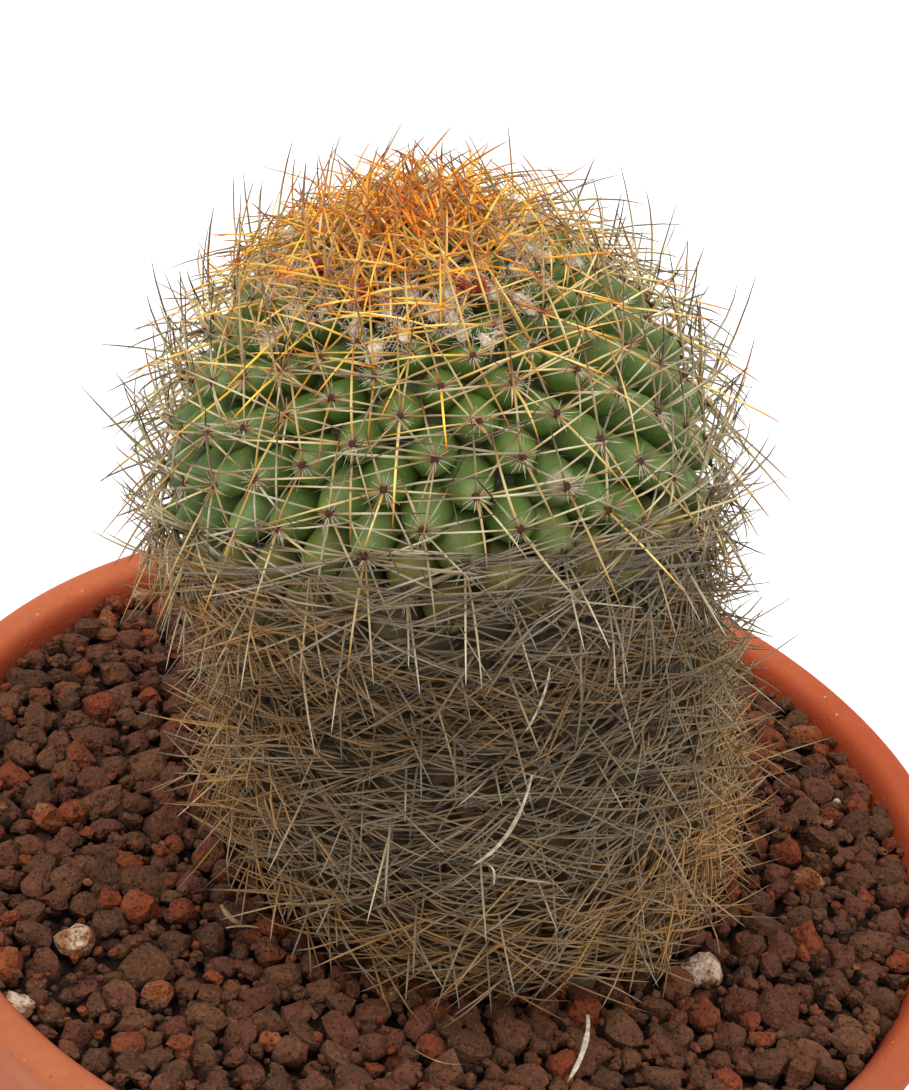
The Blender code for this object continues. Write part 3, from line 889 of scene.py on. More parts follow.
@dataclass(frozen=True)
class GravelTop:
    """A layer of lava chips between the wall and the stem, two stones deep, over dark grit that is partly painted shade
    in the gaps.
    """

    effects: Effects
    pot: TerracottaPot
    framing: Framing
    stem_middle: Pair = (9.3 * MM, 0.0)
    stem_radius: float = 33.0 * MM
    bed_drop: float = 4.6 * MM
    bed_radius: float = 24 * MM
    bed_rows: int = 40
    bed_columns: int = 160
    bed_wave: float = 0.5 * MM
    bed_play: float = 0.3 * MM
    under_drop: float = 2.6 * MM
    closeness: float = 0.7
    wall_room: float = 0.42
    stem_room: float = 0.2
    pebble_room: float = 0.38
    planes: int = 9
    edge_power: int = 14
    lumpiness: float = 0.07
    grain: float = 0.035
    tilt: float = 0.36
    settling: Pair = (0.3, 1.3)
    unevenness: float = 0.35 * MM
    red_from: float = 0.86
    ochre_from: float = 0.975
    seed: int = 11
    pale_pebbles: tuple[tuple[float, float, float, float], ...] = (
        (705, 968, 7.2 * MM, 1.0),
        (75, 935, 7.4 * MM, 0.955),
        (22, 1000, 5.0 * MM, 0.985),
    )

    def scatter(self, rng: Random, grades: tuple[StoneSize, ...]) -> Array:
        """Throws stones of falling size at the ring and keeps those that find room.

        Args:
            rng: source of random numbers.
            grades: the sizes, largest first.

        Returns:
            Rows of X, Y, length and depth.
        """
        kept = np.zeros((0, 4))
        for grade in grades:
            low, high, tries, depth = grade.value
            length = np.sort(rng.uniform(low, high, tries))[::-1]
            reach = float(self.pot.inner_radius(self.pot.height - 2 * MM))
            away = reach * np.sqrt(rng.uniform(0, 1, tries))
            turn = rng.uniform(0, TURN, tries)
            spots = np.stack([away * np.cos(turn), away * np.sin(turn)], -1)
            stem = np.linalg.norm(spots - np.array(self.stem_middle), axis=1)
            fits = away < reach - length * self.wall_room
            fits &= stem > self.stem_radius + length * self.stem_room
            for spot, size in zip(spots[fits], length[fits]):
                gap = np.linalg.norm(kept[:, :2] - spot, axis=1)
                if (gap > (kept[:, 2] + size) / 2 * self.closeness).all():
                    kept = np.vstack([kept, [*spot, size, depth]])
        return kept

    def stones(self, rng: Random, where: Array, length: Array, sides: int, levels: int) -> Stacks:
        """Crushed stones: the radius in direction u is (Σ (u·n/d)^p)^(−1/p) over the planes n at distances d.

        Three lobes m then swell and hollow it by 1 + lumpiness · Σ sin(u·m + phase).

        Args:
            rng: source of random numbers.
            where: middles of the stones.
            length: their longest sides.
            sides: points round each ring.
            levels: rings from pole to pole.

        Returns:
            The stones as stacks, with no attributes yet.
        """
        count, power = len(where), self.edge_power
        polar = (np.arange(levels + 2) / (levels + 1)) * math.pi
        up, round_ = np.meshgrid(polar, around(sides), indexing="ij")
        ways = np.stack([np.sin(up) * np.cos(round_), np.sin(up) * np.sin(round_), -np.cos(up)], -1)
        normals = unit(rng.normal(size=(count, self.planes, 3)))
        normals = np.concatenate([normals, np.tile(np.vstack([np.eye(3), -np.eye(3)]), (count, 1, 1))], 1)
        distance = rng.uniform(0.6, 1.0, (count, self.planes + 6))
        facing = np.maximum(np.einsum("lsx,npx->nlsp", ways, normals), 0) / distance[:, None, None]
        lobes = np.einsum("lsx,npx->nlsp", ways, rng.normal(0, 3.0, (count, 3, 3)))
        lumps = np.sin(lobes + rng.uniform(0, TURN, (count, 1, 1, 3))).sum(-1)
        radius = (facing**power).sum(-1) ** (-1 / power) * (1 + self.lumpiness * lumps)
        radius = radius * rng.normal(1, self.grain, (count, levels + 2, sides))
        radius[:, 0], radius[:, -1] = radius[:, 0, :1], radius[:, -1, :1]
        shape = ways * radius[..., None] * self.stretch(rng, length)[:, None, None]
        turned = np.einsum("nij,nlsj->nlsi", self.tilts(rng, count), shape) + where[:, None, None]
        return Stacks(turned[:, 1:-1], turned[:, 0, 0], turned[:, -1, 0])

    def stretch(self, rng: Random, length: Array) -> Array:
        """Half sizes of the stones on their own three axes, the last the thinnest."""
        middle, thin = rng.uniform(0.78, 1.0, len(length)), rng.uniform(0.6, 0.85, len(length))
        return np.stack([np.ones(len(length)), middle, thin], -1) * length[:, None] * 0.54

    def tilts(self, rng: Random, count: int) -> Array:
        """Rotations that lay the stones' thin axis within about 35 degrees of upright."""
        up = unit(np.stack([*(rng.normal(0, self.tilt, count) for _ in "xy"), np.ones(count)], -1))
        turn = rng.uniform(0, TURN, count)
        across = unit(np.cross(up, np.stack([np.cos(turn), np.sin(turn), np.zeros(count)], -1)))
        return np.stack([across, np.cross(up, across), up], -1)

    def tones(self, rng: Random, count: int) -> Array:
        """A tone for each stone: most are brown, some red, a few ochre."""
        tone = rng.beta(2.2, 2.6, count) * 0.74
        special = rng.uniform(0, 1, count)
        tone = np.where(special > self.red_from, rng.uniform(0.68, 0.84, count), tone)
        return np.where(special > self.ochre_from, rng.uniform(0.86, 0.95, count), tone)

    def lay(self, rng: Random, where: Array, drop: float, sides: int, levels: int) -> Stacks:
        """Lays scattered stones so that their tops lie near the gravel's top, less their grade's depth and drop."""
        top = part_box("gravel")[1].z
        sunk = top - drop - where[:, 3] * rng.uniform(*self.settling, len(where)) - where[:, 2] * 0.3
        middles = np.column_stack([where[:, :2], sunk + rng.normal(0, self.unevenness, len(where))])
        laid = self.stones(rng, middles, where[:, 2], sides, levels)
        laid.values = {"stone_tone": self.tones(rng, len(where))}
        return laid

    def pebbles(self, rng: Random) -> tuple[Stacks, Array]:
        """The few pale and ochre pebbles, each where the photograph's pixel meets the gravel's top."""
        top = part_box("gravel")[1].z
        rows = np.array(self.pale_pebbles)
        rays = np.array([self.framing.ray((row[0], row[1])) for row in rows])
        eye = self.framing.eye()
        hits = eye + rays * ((top - eye[2]) / rays[:, 2:])
        hits[:, 2] = top - rows[:, 2] * 0.2
        laid = self.stones(rng, hits, rows[:, 2], 12, 7)
        laid.values = {"stone_tone": rows[:, 3]}
        return laid, np.column_stack([hits[:, :2], rows[:, 2], np.zeros(len(rows))])

    def bed(self) -> tuple[Array, Array]:
        """A closed ring of dark grit under the stones, partly painted shade for the gaps between them: its top is waves
        of height, its other sides are flat.
        """
        low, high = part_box("gravel")
        top = high.z - self.bed_drop
        inner, rows, columns = self.bed_radius, self.bed_rows, self.bed_columns
        outer = float(self.pot.inner_radius(top)) - self.bed_play
        floor = low.z + 0.2 * MM
        outer_floor = float(self.pot.inner_radius(floor)) - self.bed_play
        radius = np.concatenate([[inner], np.linspace(outer_floor, outer, 2), np.linspace(outer, inner, rows)[1:]])
        height = np.concatenate([[floor], [floor, top], np.full(rows - 1, top)])
        turn, away = around(columns), radius[:, None]
        wave = self.bed_wave * np.sin(away * 2100 + 3 * np.sin(7 * turn)) * np.sin(turn * 67 + away * 900)
        wave[:3], wave[-1] = 0, 0
        points = np.stack([away * np.cos(turn), away * np.sin(turn), height[:, None] + wave], -1)
        return points.reshape(-1, 3), wrapped_quads(len(radius), columns, True)[:, ::-1]

    def build(self) -> None:
        """Builds the grit, the two layers of stones and the pale pebbles."""
        rng = np.random.default_rng(self.seed)
        lava = LavaFinish("lava_stone", self.effects, 0.93, 0.5 * MM, 0.2).material(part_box("gravel")[1].z)
        # painted shade: the bed is dark grit whose dark colour also stands for the shade in the gaps between stones
        grit = EarthFinish("gravel_shade", self.effects, 0.95, 0.8 * MM, 0.1).material()
        points, quads = self.bed()
        pieces = [make_mesh("gravel_bed", points, [quads], grit)]
        upper = self.scatter(rng, (StoneSize.COBBLE, StoneSize.CHIP, StoneSize.PEA))
        pale, taken = self.pebbles(rng)
        apart = np.linalg.norm(upper[:, None, :2] - taken[None, :, :2], axis=-1)
        gaps = apart - (upper[:, None, 2] + taken[None, :, 2]) * self.pebble_room
        upper = upper[(gaps > 0).all(1)]
        lower = self.scatter(rng, (StoneSize.COBBLE, StoneSize.CHIP))
        crumbs = self.scatter(rng, (StoneSize.CRUMB,))
        pieces.append(stack_piece("lava_chips_top", [self.lay(rng, upper, 0.0, 10, 5), pale], lava, True))
        fine = [self.lay(rng, lower, self.under_drop, 8, 4), self.lay(rng, crumbs, 0.0, 6, 3)]
        pieces.append(stack_piece("lava_chips_under", fine, lava, True))
        for piece in pieces:
            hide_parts("gravel")
            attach(piece, BODY)


# The cactus


@dataclass(frozen=True)
class StemShape:
    """The leaning stem's skin, through the tips of its tubercles, measured along its own axis.

    The axis bends at the head, which carries the apex off the straight line by nod. The belt where green skin
    turns to old stem lies ageing_tilt higher in front than at the sides, and lower behind.
    """

    base: tuple[float, float, float] = (9.5 * MM, 0, 87.3 * MM)
    lean: float = math.radians(14)
    base_radius: float = 35 * MM
    body_radius: float = 38.5 * MM
    waist_height: float = 54 * MM
    waist_depth: float = 3.0 * MM
    waist_spread: float = 10 * MM
    ageing_height: float = 62 * MM
    ageing_tilt: float = 15 * MM
    ageing_belt: float = 20 * MM
    head_radius: float = 42.6 * MM
    head_height: float = 73 * MM
    dome_height: float = 39.5 * MM
    dome_power: float = 2.0
    nod: tuple[float, float, float] = (-2.5 * MM, 7 * MM, 0)
    nod_start: float = 45 * MM
    buried: float = 14 * MM
    apex_spacing: float = 3.1 * MM
    full_spacing: float = 8.7 * MM
    growth: float = 44 * MM
    valley: float = 5.4 * MM
    old_valley: float = 3.0 * MM
    apex_shallowness: float = 0.28
    foot_swell: float = 14 * MM
    tip_drop: float = 0.3 * MM
    spines_from: float = 89.5 * MM
    dome_rows: int = 160
    side_rows: int = 200

    @property
    def nod_reach(self) -> float:
        """How much of the axis nods, up to the apex."""
        return self.head_height + self.dome_height - self.nod_start

    def table(self) -> Row:
        """The skin from the apex down: its length, radius, height, slope, and its areoles' growth and count.

        The dome is a superellipse, r = R sin(t)^(2/p) and h = H + D cos(t)^(2/p). Below it the radius swells
        from the base and sinks at the waist by exp(−((h − waist)/spread)²).
        """
        t = np.linspace(0, math.pi / 2, self.dome_rows)
        power = 2 / self.dome_power
        rise = self.dome_height * np.maximum(np.cos(t), 0) ** power
        dome = np.stack([self.head_radius * np.sin(t) ** power, self.head_height + rise], -1)
        height = np.linspace(self.head_height, -self.buried, self.side_rows)[1:]
        foot = self.base_radius + (self.body_radius - self.base_radius) * smooth(height / self.foot_swell)
        waist = self.waist_depth * np.exp(-(((height - self.waist_height) / self.waist_spread) ** 2))
        swell = smooth((height - self.waist_height) / (self.head_height - self.waist_height))
        side = foot - waist + (self.head_radius - self.body_radius) * swell
        outline = np.concatenate([dome, np.stack([side, height], -1)])
        skin = np.concatenate([[0], np.cumsum(np.linalg.norm(np.diff(outline, axis=0), axis=1))])
        radius, height = outline.T
        grown = smooth(skin / self.growth)
        spacing = self.apex_spacing + (self.full_spacing - self.apex_spacing) * grown
        density = TURN * radius / (spacing**2 * math.sqrt(3) / 2)
        count = np.concatenate([[0], np.cumsum(np.diff(skin) * (density[1:] + density[:-1]) / 2)])
        names = ("skin", "radius", "height", "grown", "spacing", "count", "out", "fall")
        slope = unit(np.gradient(outline, skin, axis=0))
        return dict(zip(names, (skin, radius, height, grown, spacing, count, *slope.T)))

    def at(self, skin: Array, angle: Array) -> Row:
        """The frame on the skin at a length from the apex and an angle round the axis.

        Args:
            skin: lengths along the skin.
            angle: angles.

        Returns:
            Arrays place, down, side and normal, age from 0 to 1, the valleys' depth, and the table's columns.
        """
        table = self.table()
        row = {key: np.interp(skin, table["skin"], table[key]) for key in table}
        cos, sin, zero = np.cos(angle), np.sin(angle), np.zeros_like(angle)
        share = np.maximum(row["height"] - self.nod_start, 0) / self.nod_reach
        bend = share[..., None] ** 2 * np.array(self.nod)
        turn = (2 * share * row["fall"] / self.nod_reach)[..., None] * np.array(self.nod)
        place = np.stack([row["radius"] * cos, row["radius"] * sin, row["height"]], -1)
        down = unit(self.leaned(np.stack([row["out"] * cos, row["out"] * sin, row["fall"]], -1)) + turn)
        normal = unit(np.cross(down, self.leaned(np.stack([-sin, cos, zero], -1))))
        belt = self.ageing_height - self.ageing_tilt * sin
        age = smooth((belt + self.ageing_belt / 2 - row["height"]) / self.ageing_belt)
        full = self.valley + (self.old_valley - self.valley) * age
        depth = full * (self.apex_shallowness + (1 - self.apex_shallowness) * row["grown"])
        row |= {"place": self.leaned(place) + bend + np.array(self.base), "down": down, "normal": normal}
        return row | {"side": np.cross(normal, down), "angle": angle, "age": age, "depth": depth}

    def leaned(self, vectors: Array) -> Array:
        """Vectors in the stem's own axes, tilted towards -X."""
        c, s = math.cos(self.lean), math.sin(self.lean)
        return vectors @ np.array([[c, 0, -s], [0, 1, 0], [s, 0, c]]).T

    def areoles(self) -> Row:
        """Frames of all the areoles: number n stands at n golden angles, where the skin above it holds n of them."""
        table = self.table()
        number = np.arange(0.5, table["count"][-1])
        row = self.at(np.interp(number, table["count"], table["skin"]), number * GOLDEN_ANGLE)
        size = row["spacing"] / self.full_spacing
        return row | {"size": size, "tip": row["place"] + row["down"] * (self.tip_drop * size)[:, None]}

    def axis_distance(self, points: Array) -> tuple[Array, Array]:
        """How far points lie from the stem's axis, and their height along it."""
        turned, nod = self.leaned(np.eye(3)).T, np.array(self.nod)
        height = ((points - np.array(self.base)) @ turned)[..., 2]
        share = np.clip((height - self.nod_start) / self.nod_reach, 0, 1)
        own = (points - np.array(self.base) - share[..., None] ** 2 * nod) @ turned
        return np.hypot(own[..., 0], own[..., 1]), own[..., 2]

    def meet(self, eye: Array, ray: Array, lift: float, reach: Pair = (0.3, 0.9), steps: int = 6001) -> Array:
        """Where a ray first comes within lift of the skin, looked for in even steps between two distances."""
        table = self.table()
        way = np.linspace(*reach, steps)
        points = eye + way[:, None] * ray
        away, height = self.axis_distance(points)
        skin = np.interp(height, table["height"][::-1], table["radius"][::-1])
        return points[np.argmax((away < skin + lift) & (height < table["height"][0] + lift))]


@dataclass(frozen=True)
class Flesh:
    """The stem's body: a core, and a plump tubercle for each areole, packed like scales."""

    effects: Effects
    shape: StemShape
    framing: Framing
    sides: int = 12
    levels: int = 5
    neighbours: int = 8
    rounding: float = 7.0
    widest: float = 0.66
    tip_share: float = 0.93
    taper: float = 0.85
    tallness: float = 1.6
    least_height: float = 0.8 * MM
    hang: float = 0.4
    core_rows: tuple[int, int] = (24, 44)
    core_sides: int = 72
    core_depth: float = 1.15
    core_play: float = 0.3 * MM
    seed: int = 5
    scar_pixel: Pair = (560, 505)
    scar_level: float = 0.86
    lowest: float = 83 * MM

    def cells(self, row: Row, turn: Array) -> Array:
        """How far each tubercle's foot reaches: (Σ t^−p)^(−1/p), t being the way to the midline with a neighbour.

        Args:
            row: frames of the areoles.
            turn: directions in the skin, from down towards side.

        Returns:
            Reaches, of shape (areoles, directions).
        """
        place = row["place"]
        apart = np.linalg.norm(place[:, None] - place[None], axis=-1)
        near = np.argsort(apart, axis=1)[:, 1 : self.neighbours + 1]
        offset = place[near] - place[:, None]
        flat = np.stack([(offset * row["down"][:, None]).sum(-1), (offset * row["side"][:, None]).sum(-1)], -1)
        way = np.stack([np.cos(turn), np.sin(turn)], -1)
        facing = np.maximum(flat @ way.T, 1e-7)
        reach = (flat**2).sum(-1)[..., None] / 2 / facing
        cell = (reach ** -self.rounding).sum(1) ** (-1 / self.rounding)
        return np.minimum(cell, row["spacing"][:, None] * self.widest)

    def tubercles(self, row: Row) -> Stacks:
        """Each is a blunt cone on its cell: the reach is cell · cos(v)^taper and the height sin(v), v from 0 to 90°.

        Its foot stands hang · its height further up the skin than its tip, so it points a little down.
        """
        rng = np.random.default_rng(self.seed)
        count = len(row["skin"])
        turn = around(self.sides)
        v = np.linspace(0, 1, self.levels + 1)[:-1] * math.pi / 2
        cell = self.cells(row, turn) * rng.normal(1.0, 0.02, count)[:, None]
        ball = cell.mean(1, keepdims=True) * self.tip_share
        blend = smooth(np.sin(v) * 1.3)[None, :, None]
        reach = cell[:, None] * (1 - blend) + ball[:, None] * blend
        reach = reach * (np.cos(v) ** self.taper)[None, :, None]
        tall = (row["depth"] * self.tallness + self.least_height) * rng.normal(1, 0.05, count)
        up = tall[:, None] * (np.sin(v) - 1)[None]
        aside, back = rng.normal(0, 0.09, (count, 1)), rng.normal(self.hang, 0.08, (count, 1))
        foot = row["place"] + (aside * row["side"] - back * row["down"]) * tall[:, None]
        along = np.sin(v)[None, :, None]
        middle = foot[:, None] * (1 - along) + row["tip"][:, None] * along + row["normal"][:, None] * up[..., None]
        rings = middle[:, :, None] + reach[..., None] * spokes(row, turn)[:, None]
        start = foot - row["normal"] * tall[:, None]
        level = np.concatenate([[0], np.sin(v), [1]])
        values = {
            # rise runs from 0 at the foot, in the valleys' painted shade, to 1 at the tip
            "rise": np.tile(level, (count, 1)),
            "age": row["age"],
            "tone": rng.uniform(0, 1, count),
            "scar": self.scar(row)[:, None] * smooth((level - self.scar_level) / (1 - self.scar_level))[None],
        }
        return Stacks(rings, start, row["tip"], values)

    def scar(self, row: Row) -> Array:
        """1 for the one tubercle whose tip is corky, nearest its pixel on the front, and 0 for the others."""
        away = np.linalg.norm(self.framing.pixels(row["tip"]) - np.array(self.scar_pixel), axis=-1)
        front = ((self.framing.eye() - row["tip"]) * row["normal"]).sum(-1) > 0
        chosen = np.zeros(len(away))
        chosen[np.argmin(np.where(front, away, np.inf))] = 1
        return chosen

    def core(self) -> Stacks:
        """The body under the tubercles, turned round the leaning axis, its skin sunk just below the valleys and
        coloured with their painted shade.
        """
        table = self.shape.table()
        rows, (upper, lower) = self.shape.dome_rows, self.core_rows
        dome, side = np.linspace(1, rows - 1, upper), np.linspace(rows, len(table["skin"]) - 1, lower)
        keep = np.concatenate([dome, side]).astype(int)[::-1]
        turn = around(self.core_sides)
        skin = np.repeat(table["skin"][keep][:, None], len(turn), 1)
        row = self.shape.at(skin, np.broadcast_to(turn, skin.shape))
        sunk = row["depth"] * self.core_depth + self.core_play
        rings = row["place"] - row["normal"] * sunk[..., None]
        age = np.concatenate([[1.0], row["age"][:, 0], [0.0]])[None]
        # rise 0 gives the core the painted shade of the valleys
        values = {"rise": np.zeros_like(age), "age": age, "tone": np.full(1, 0.3), "scar": np.zeros(1)}
        return Stacks(rings[None], rings[:1].mean(1), rings[-1:].mean(1), values)

    def build(self, row: Row) -> None:
        """Builds the core and tubercles as one piece."""
        seen = picked(row, row["tip"][:, 2] > self.lowest)
        finish = SkinFinish("cactus_skin", self.effects, 0.5, 0.12 * MM, 0.4, 0.12)
        stand_for_cactus([stack_piece("cactus_flesh", [self.core(), self.tubercles(seen)], finish.material())])


@dataclass(frozen=True)
class SpineKind:
    """One spine of an areole's fan.

    heading is its direction on the skin from down, and rise its angle off the skin, both in degrees with their
    spread. bend is how far its tip turns back towards the skin, and waviness how unevenly, in lengths. gilt is
    added to the areole's own, and pale is how bleached it is when old. dusk brings the dark end further in from
    the tip, and scatter is how far the roots stray from the areole's middle.
    """

    heading: float
    rise: float
    length: float
    thickness: float = 0.19 * MM
    heading_spread: float = 9
    rise_spread: float = 8
    length_spread: float = 0.17
    bend: float = 0.16
    waviness: float = 0.05
    share: float = 1.0
    gilt: float = 0.0
    pale: float = 0.0
    dusk: float = 0.0
    scatter: float = 0.0


@dataclass(frozen=True)
class TubeGrid:
    """How finely a spine is cut: sides round it, and the places and girths of its rings from root to tip."""

    sides: int
    steps: tuple[float, ...]
    girths: tuple[float, ...]


FINE = TubeGrid(5, (0.0, 0.1, 0.32, 0.56, 0.78, 0.93, 1.0), (1.25, 1.0, 0.96, 0.84, 0.6, 0.3))
COARSE = TubeGrid(4, (0.0, 0.14, 0.4, 0.7, 0.92, 1.0), (1.2, 1.0, 0.95, 0.78, 0.4))


class Fan(Enum):
    """The fans of spines from the heart of the crown down to the old stem: piece, grid and kinds."""

    HEART = (
        "crown_spines",
        FINE,
        tuple(
            SpineKind(heading, rise, 14 * MM, 0.29 * MM, 26, 12, 0.2, 0.36, 0.24)
            for heading, rise in ((180, 54), (120, 52), (-120, 52), (0, 62), (60, 52), (-60, 52))
        ),
    )
    RUFF = (
        "crown_spines",
        FINE,
        (
            *(SpineKind(heading, 34, 16 * MM, 0.26 * MM, 14, 10, 0.16, 0.26, 0.16) for heading in (-50, 50)),
            *(SpineKind(heading, 28, 18 * MM, 0.26 * MM, 12, 10, 0.16, 0.24, 0.14) for heading in (-94, 94)),
            *(SpineKind(heading, 44, 16 * MM, 0.26 * MM, 14, 12, 0.18, 0.34, 0.22) for heading in (-140, 140)),
            SpineKind(180, 52, 15 * MM, 0.26 * MM, 18, 14, 0.2, 0.3, 0.2),
            SpineKind(0, 36, 12 * MM, 0.22 * MM, 14, 9, 0.18, 0.12, share=0.5),
        ),
    )
    HEAD = (
        "head_spines",
        FINE,
        (
            *(SpineKind(heading, 25, 21 * MM, 0.18 * MM, 7, 8, bend=0.26) for heading in (-97, 97)),
            *(SpineKind(heading, 28, 19 * MM, 0.18 * MM, 7, 8, bend=0.28, share=0.85) for heading in (-80, 80)),
            SpineKind(0, 27, 16.5 * MM, 0.2 * MM, 9, bend=0.08, gilt=0.45),
            SpineKind(180, 34, 19.5 * MM, 0.2 * MM, 10, bend=0.17, gilt=0.25, dusk=0.2),
            *(SpineKind(heading, 26, 13.5 * MM, 0.17 * MM, share=0.35) for heading in (-38, 40)),
            *(SpineKind(heading, 30, 16 * MM, 0.18 * MM, share=0.35, dusk=0.4) for heading in (-146, 144)),
        ),
    )
    BELT = (
        "belt_spines",
        FINE,
        (
            *(
                SpineKind(heading, 22, 20 * MM, 0.2 * MM, 3.5, 7, 0.14, 0.25, 0.05, pale=0.1, scatter=0.6 * MM)
                for heading in (-106, -100, -95, -91, -86, -81, -74, 74, 81, 86, 91, 95, 100, 106)
            ),
            *(
                SpineKind(heading, 24, 17.5 * MM, 0.19 * MM, 7, 9, 0.14, 0.04, gilt=0.3, pale=0.75)
                for heading in (-7, 6)
            ),
            *(SpineKind(heading, 30, 13 * MM, 0.16 * MM, share=0.5) for heading in (40, -40)),
            SpineKind(180, 34, 13 * MM, 0.17 * MM),
        ),
    )
    OLD = (
        "old_spines",
        COARSE,
        (
            *(
                SpineKind(heading, rise, 15.5 * MM, 0.2 * MM, 8, 10, 0.24, 0.22, 0.14, scatter=1.5 * MM)
                for rise, headings in ((16, (64, 80, 92, 108)), (28, (74, 88, 102)), (40, (82, 99)))
                for size in headings
                for heading in (-size, size)
            ),
            SpineKind(0, 30, 15 * MM, 0.2 * MM, 12, 13, 0.22, 0.02, share=0.8, pale=0.5, scatter=1 * MM),
            SpineKind(24, 40, 12.5 * MM, 0.19 * MM, 20, 14, 0.24, 0.04, share=0.6, pale=0.2, scatter=1 * MM),
            SpineKind(180, 38, 10 * MM, 0.18 * MM, 40, 14, scatter=1 * MM),
        ),
    )


@dataclass(frozen=True)
class SpineYard:
    """Grows the spines of every areole as curved, tapered tubes.

    gilding pairs lengths of skin from the apex with how golden the spines are there: 1 is gold and 2 is ember.
    """

    effects: Effects
    shape: StemShape
    heart_skin: float = 8 * MM
    ruff_skin: float = 17 * MM
    belt_age: float = 0.002
    old_age: float = 0.6
    gilding: tuple[Pair, ...] = (
        (0.0, 1.95),
        (8 * MM, 1.5),
        (13 * MM, 1.2),
        (18 * MM, 1.05),
        (25 * MM, 0.62),
        (34 * MM, 0.2),
        (46 * MM, 0.0),
    )
    warm_left: float = -12 * MM
    warm_right: float = 30 * MM
    warm_top: float = 70 * MM
    warm_flank: float = 14 * MM
    warm_foot: float = 30 * MM
    flank_blend: float = 16 * MM
    top_blend: float = 10 * MM
    waist_reach: float = 9 * MM
    rust_rise: float = 7 * MM
    rest: float = 89.4 * MM
    shortest: float = 3.5 * MM
    seed: int = 23

    def zone(self, row: Row) -> Array:
        """The number of each areole's fan, in the order of Fan."""
        skin, age = row["skin"], row["age"]
        zone = np.full(len(skin), 2)
        zone[age > self.belt_age] = 3
        zone[age > self.old_age] = 4
        zone[skin < self.ruff_skin] = 1
        zone[skin < self.heart_skin] = 0
        return zone

    def warmth(self, row: Row) -> Array:
        """How tan rather than grey the old spines are: at both sides, at the foot and round the waist."""
        x, height, blend = row["place"][:, 0], row["height"], self.flank_blend
        side = np.maximum(smooth((self.warm_left - x) / blend), smooth((x - self.warm_right) / blend))
        foot = smooth((self.warm_foot - height) / blend)
        below = smooth((self.warm_top + self.warm_flank * side - height) / self.top_blend)
        return below * (0.16 + 0.62 * side + 0.5 * foot + 0.7 * self.waist(row))

    def waist(self, row: Row) -> Array:
        """How near the areoles are to the upper side of the stem's waist: 1 there, falling off like a bell."""
        return np.exp(-(((row["height"] - self.shape.waist_height - self.rust_rise) / self.waist_reach) ** 2))

    def grow(self, rng: Random, row: Row, kind: SpineKind, grid: TubeGrid) -> Stacks:
        """One spine of a kind on each areole: root + length · (s · way − bend · s² · normal), s from 0 to 1.

        Args:
            rng: source of random numbers.
            row: frames of the areoles, with their gilt and warmth.
            kind: the spine.
            grid: how finely it is cut.

        Returns:
            The spines as stacks with the attributes of SpineFinish.
        """
        count = len(row["skin"])
        heading = np.radians(kind.heading + rng.normal(0, kind.heading_spread, count))
        rise = np.radians(np.clip(kind.rise + rng.normal(0, kind.rise_spread, count), 6, 88))
        length = kind.length * (0.7 + 0.3 * row["size"]) * np.clip(rng.normal(1, kind.length_spread, count), 0.55, 1.4)
        flat = towards(row, heading)
        way = np.cos(rise)[:, None] * flat + np.sin(rise)[:, None] * row["normal"]
        bend = kind.bend + rng.normal(0, kind.waviness, count)
        sway = rng.normal(0, kind.waviness, count)
        turn = bend[:, None] * row["normal"] + sway[:, None] * np.cross(way, row["normal"])
        root = row["tip"] + flat * (0.5 * MM * row["size"])[:, None] - way * 0.5 * MM
        stray = rng.normal(0, kind.scatter, (2, count, 1)) if kind.scatter else np.zeros((2, 1, 1))
        root = root + stray[0] * row["down"] + stray[1] * row["side"]
        s = np.array(grid.steps)[None, :, None]
        path = s * way[:, None] - s**2 * turn[:, None]
        end = root[:, 2] + length * path[:, -1, 2]
        fall = np.minimum(end - root[:, 2], -1e-6)
        length = length * np.where(end < self.rest, (self.rest - root[:, 2]) / fall, 1)
        centres = root[:, None] + length[:, None, None] * path
        room = np.where(row["skin"] > self.ruff_skin, np.clip(1.5 * row["size"] ** 2, 0.4, 1), 1)
        keep = (length > self.shortest) & (rng.uniform(0, 1, count) < kind.share * room)
        girths = kind.thickness * (0.75 + 0.25 * row["size"])[:, None] * np.array(grid.girths)
        radii = girths * rng.normal(1, 0.1, count)[:, None]
        values = {
            "age": smooth((row["age"] + rng.normal(0.05, 0.05, count)) / 0.16),
            "gilt": np.clip(row["gilt"] + kind.gilt + rng.normal(0, 0.14 + 0.16 * (row["gilt"] > 1.1)), 0, 2),
            "warmth": np.clip(row["warmth"] + rng.normal(0.06, 0.2, count), 0, 1),
            "pale": np.clip(kind.pale + rng.normal(0, 0.16, count), 0, 1),
            "tone": rng.uniform(0, 1, count) - 0.75 * self.waist(row),
        }
        values = picked(values, keep)
        hasten = 1 + kind.dusk * np.maximum(1 - values["gilt"], 0)
        values["along"] = np.minimum(hasten[:, None] * np.concatenate([[0.0], grid.steps]), 1)
        return tubes(centres[keep], radii[keep], grid.sides, values)

    def build(self, row: Row) -> None:
        """Grows the crown's, the head's, the belt's and the old stem's spines as four pieces."""
        rng = np.random.default_rng(self.seed)
        skin, gilt = np.array(self.gilding).T
        row = row | {"gilt": np.interp(row["skin"], skin, gilt), "warmth": self.warmth(row)}
        zone = self.zone(row)
        finish = SpineFinish("spine_horn", self.effects, 0.45, 0.06 * MM, 0.12, 0.1).material()
        parts: dict[str, list[Stacks]] = {}
        for number, fan in enumerate(Fan):
            name, grid, kinds = fan.value
            here = picked(row, zone == number)
            parts.setdefault(name, []).extend(self.grow(rng, here, kind, grid) for kind in kinds)
        stand_for_cactus([stack_piece(name, part, finish) for name, part in parts.items()])


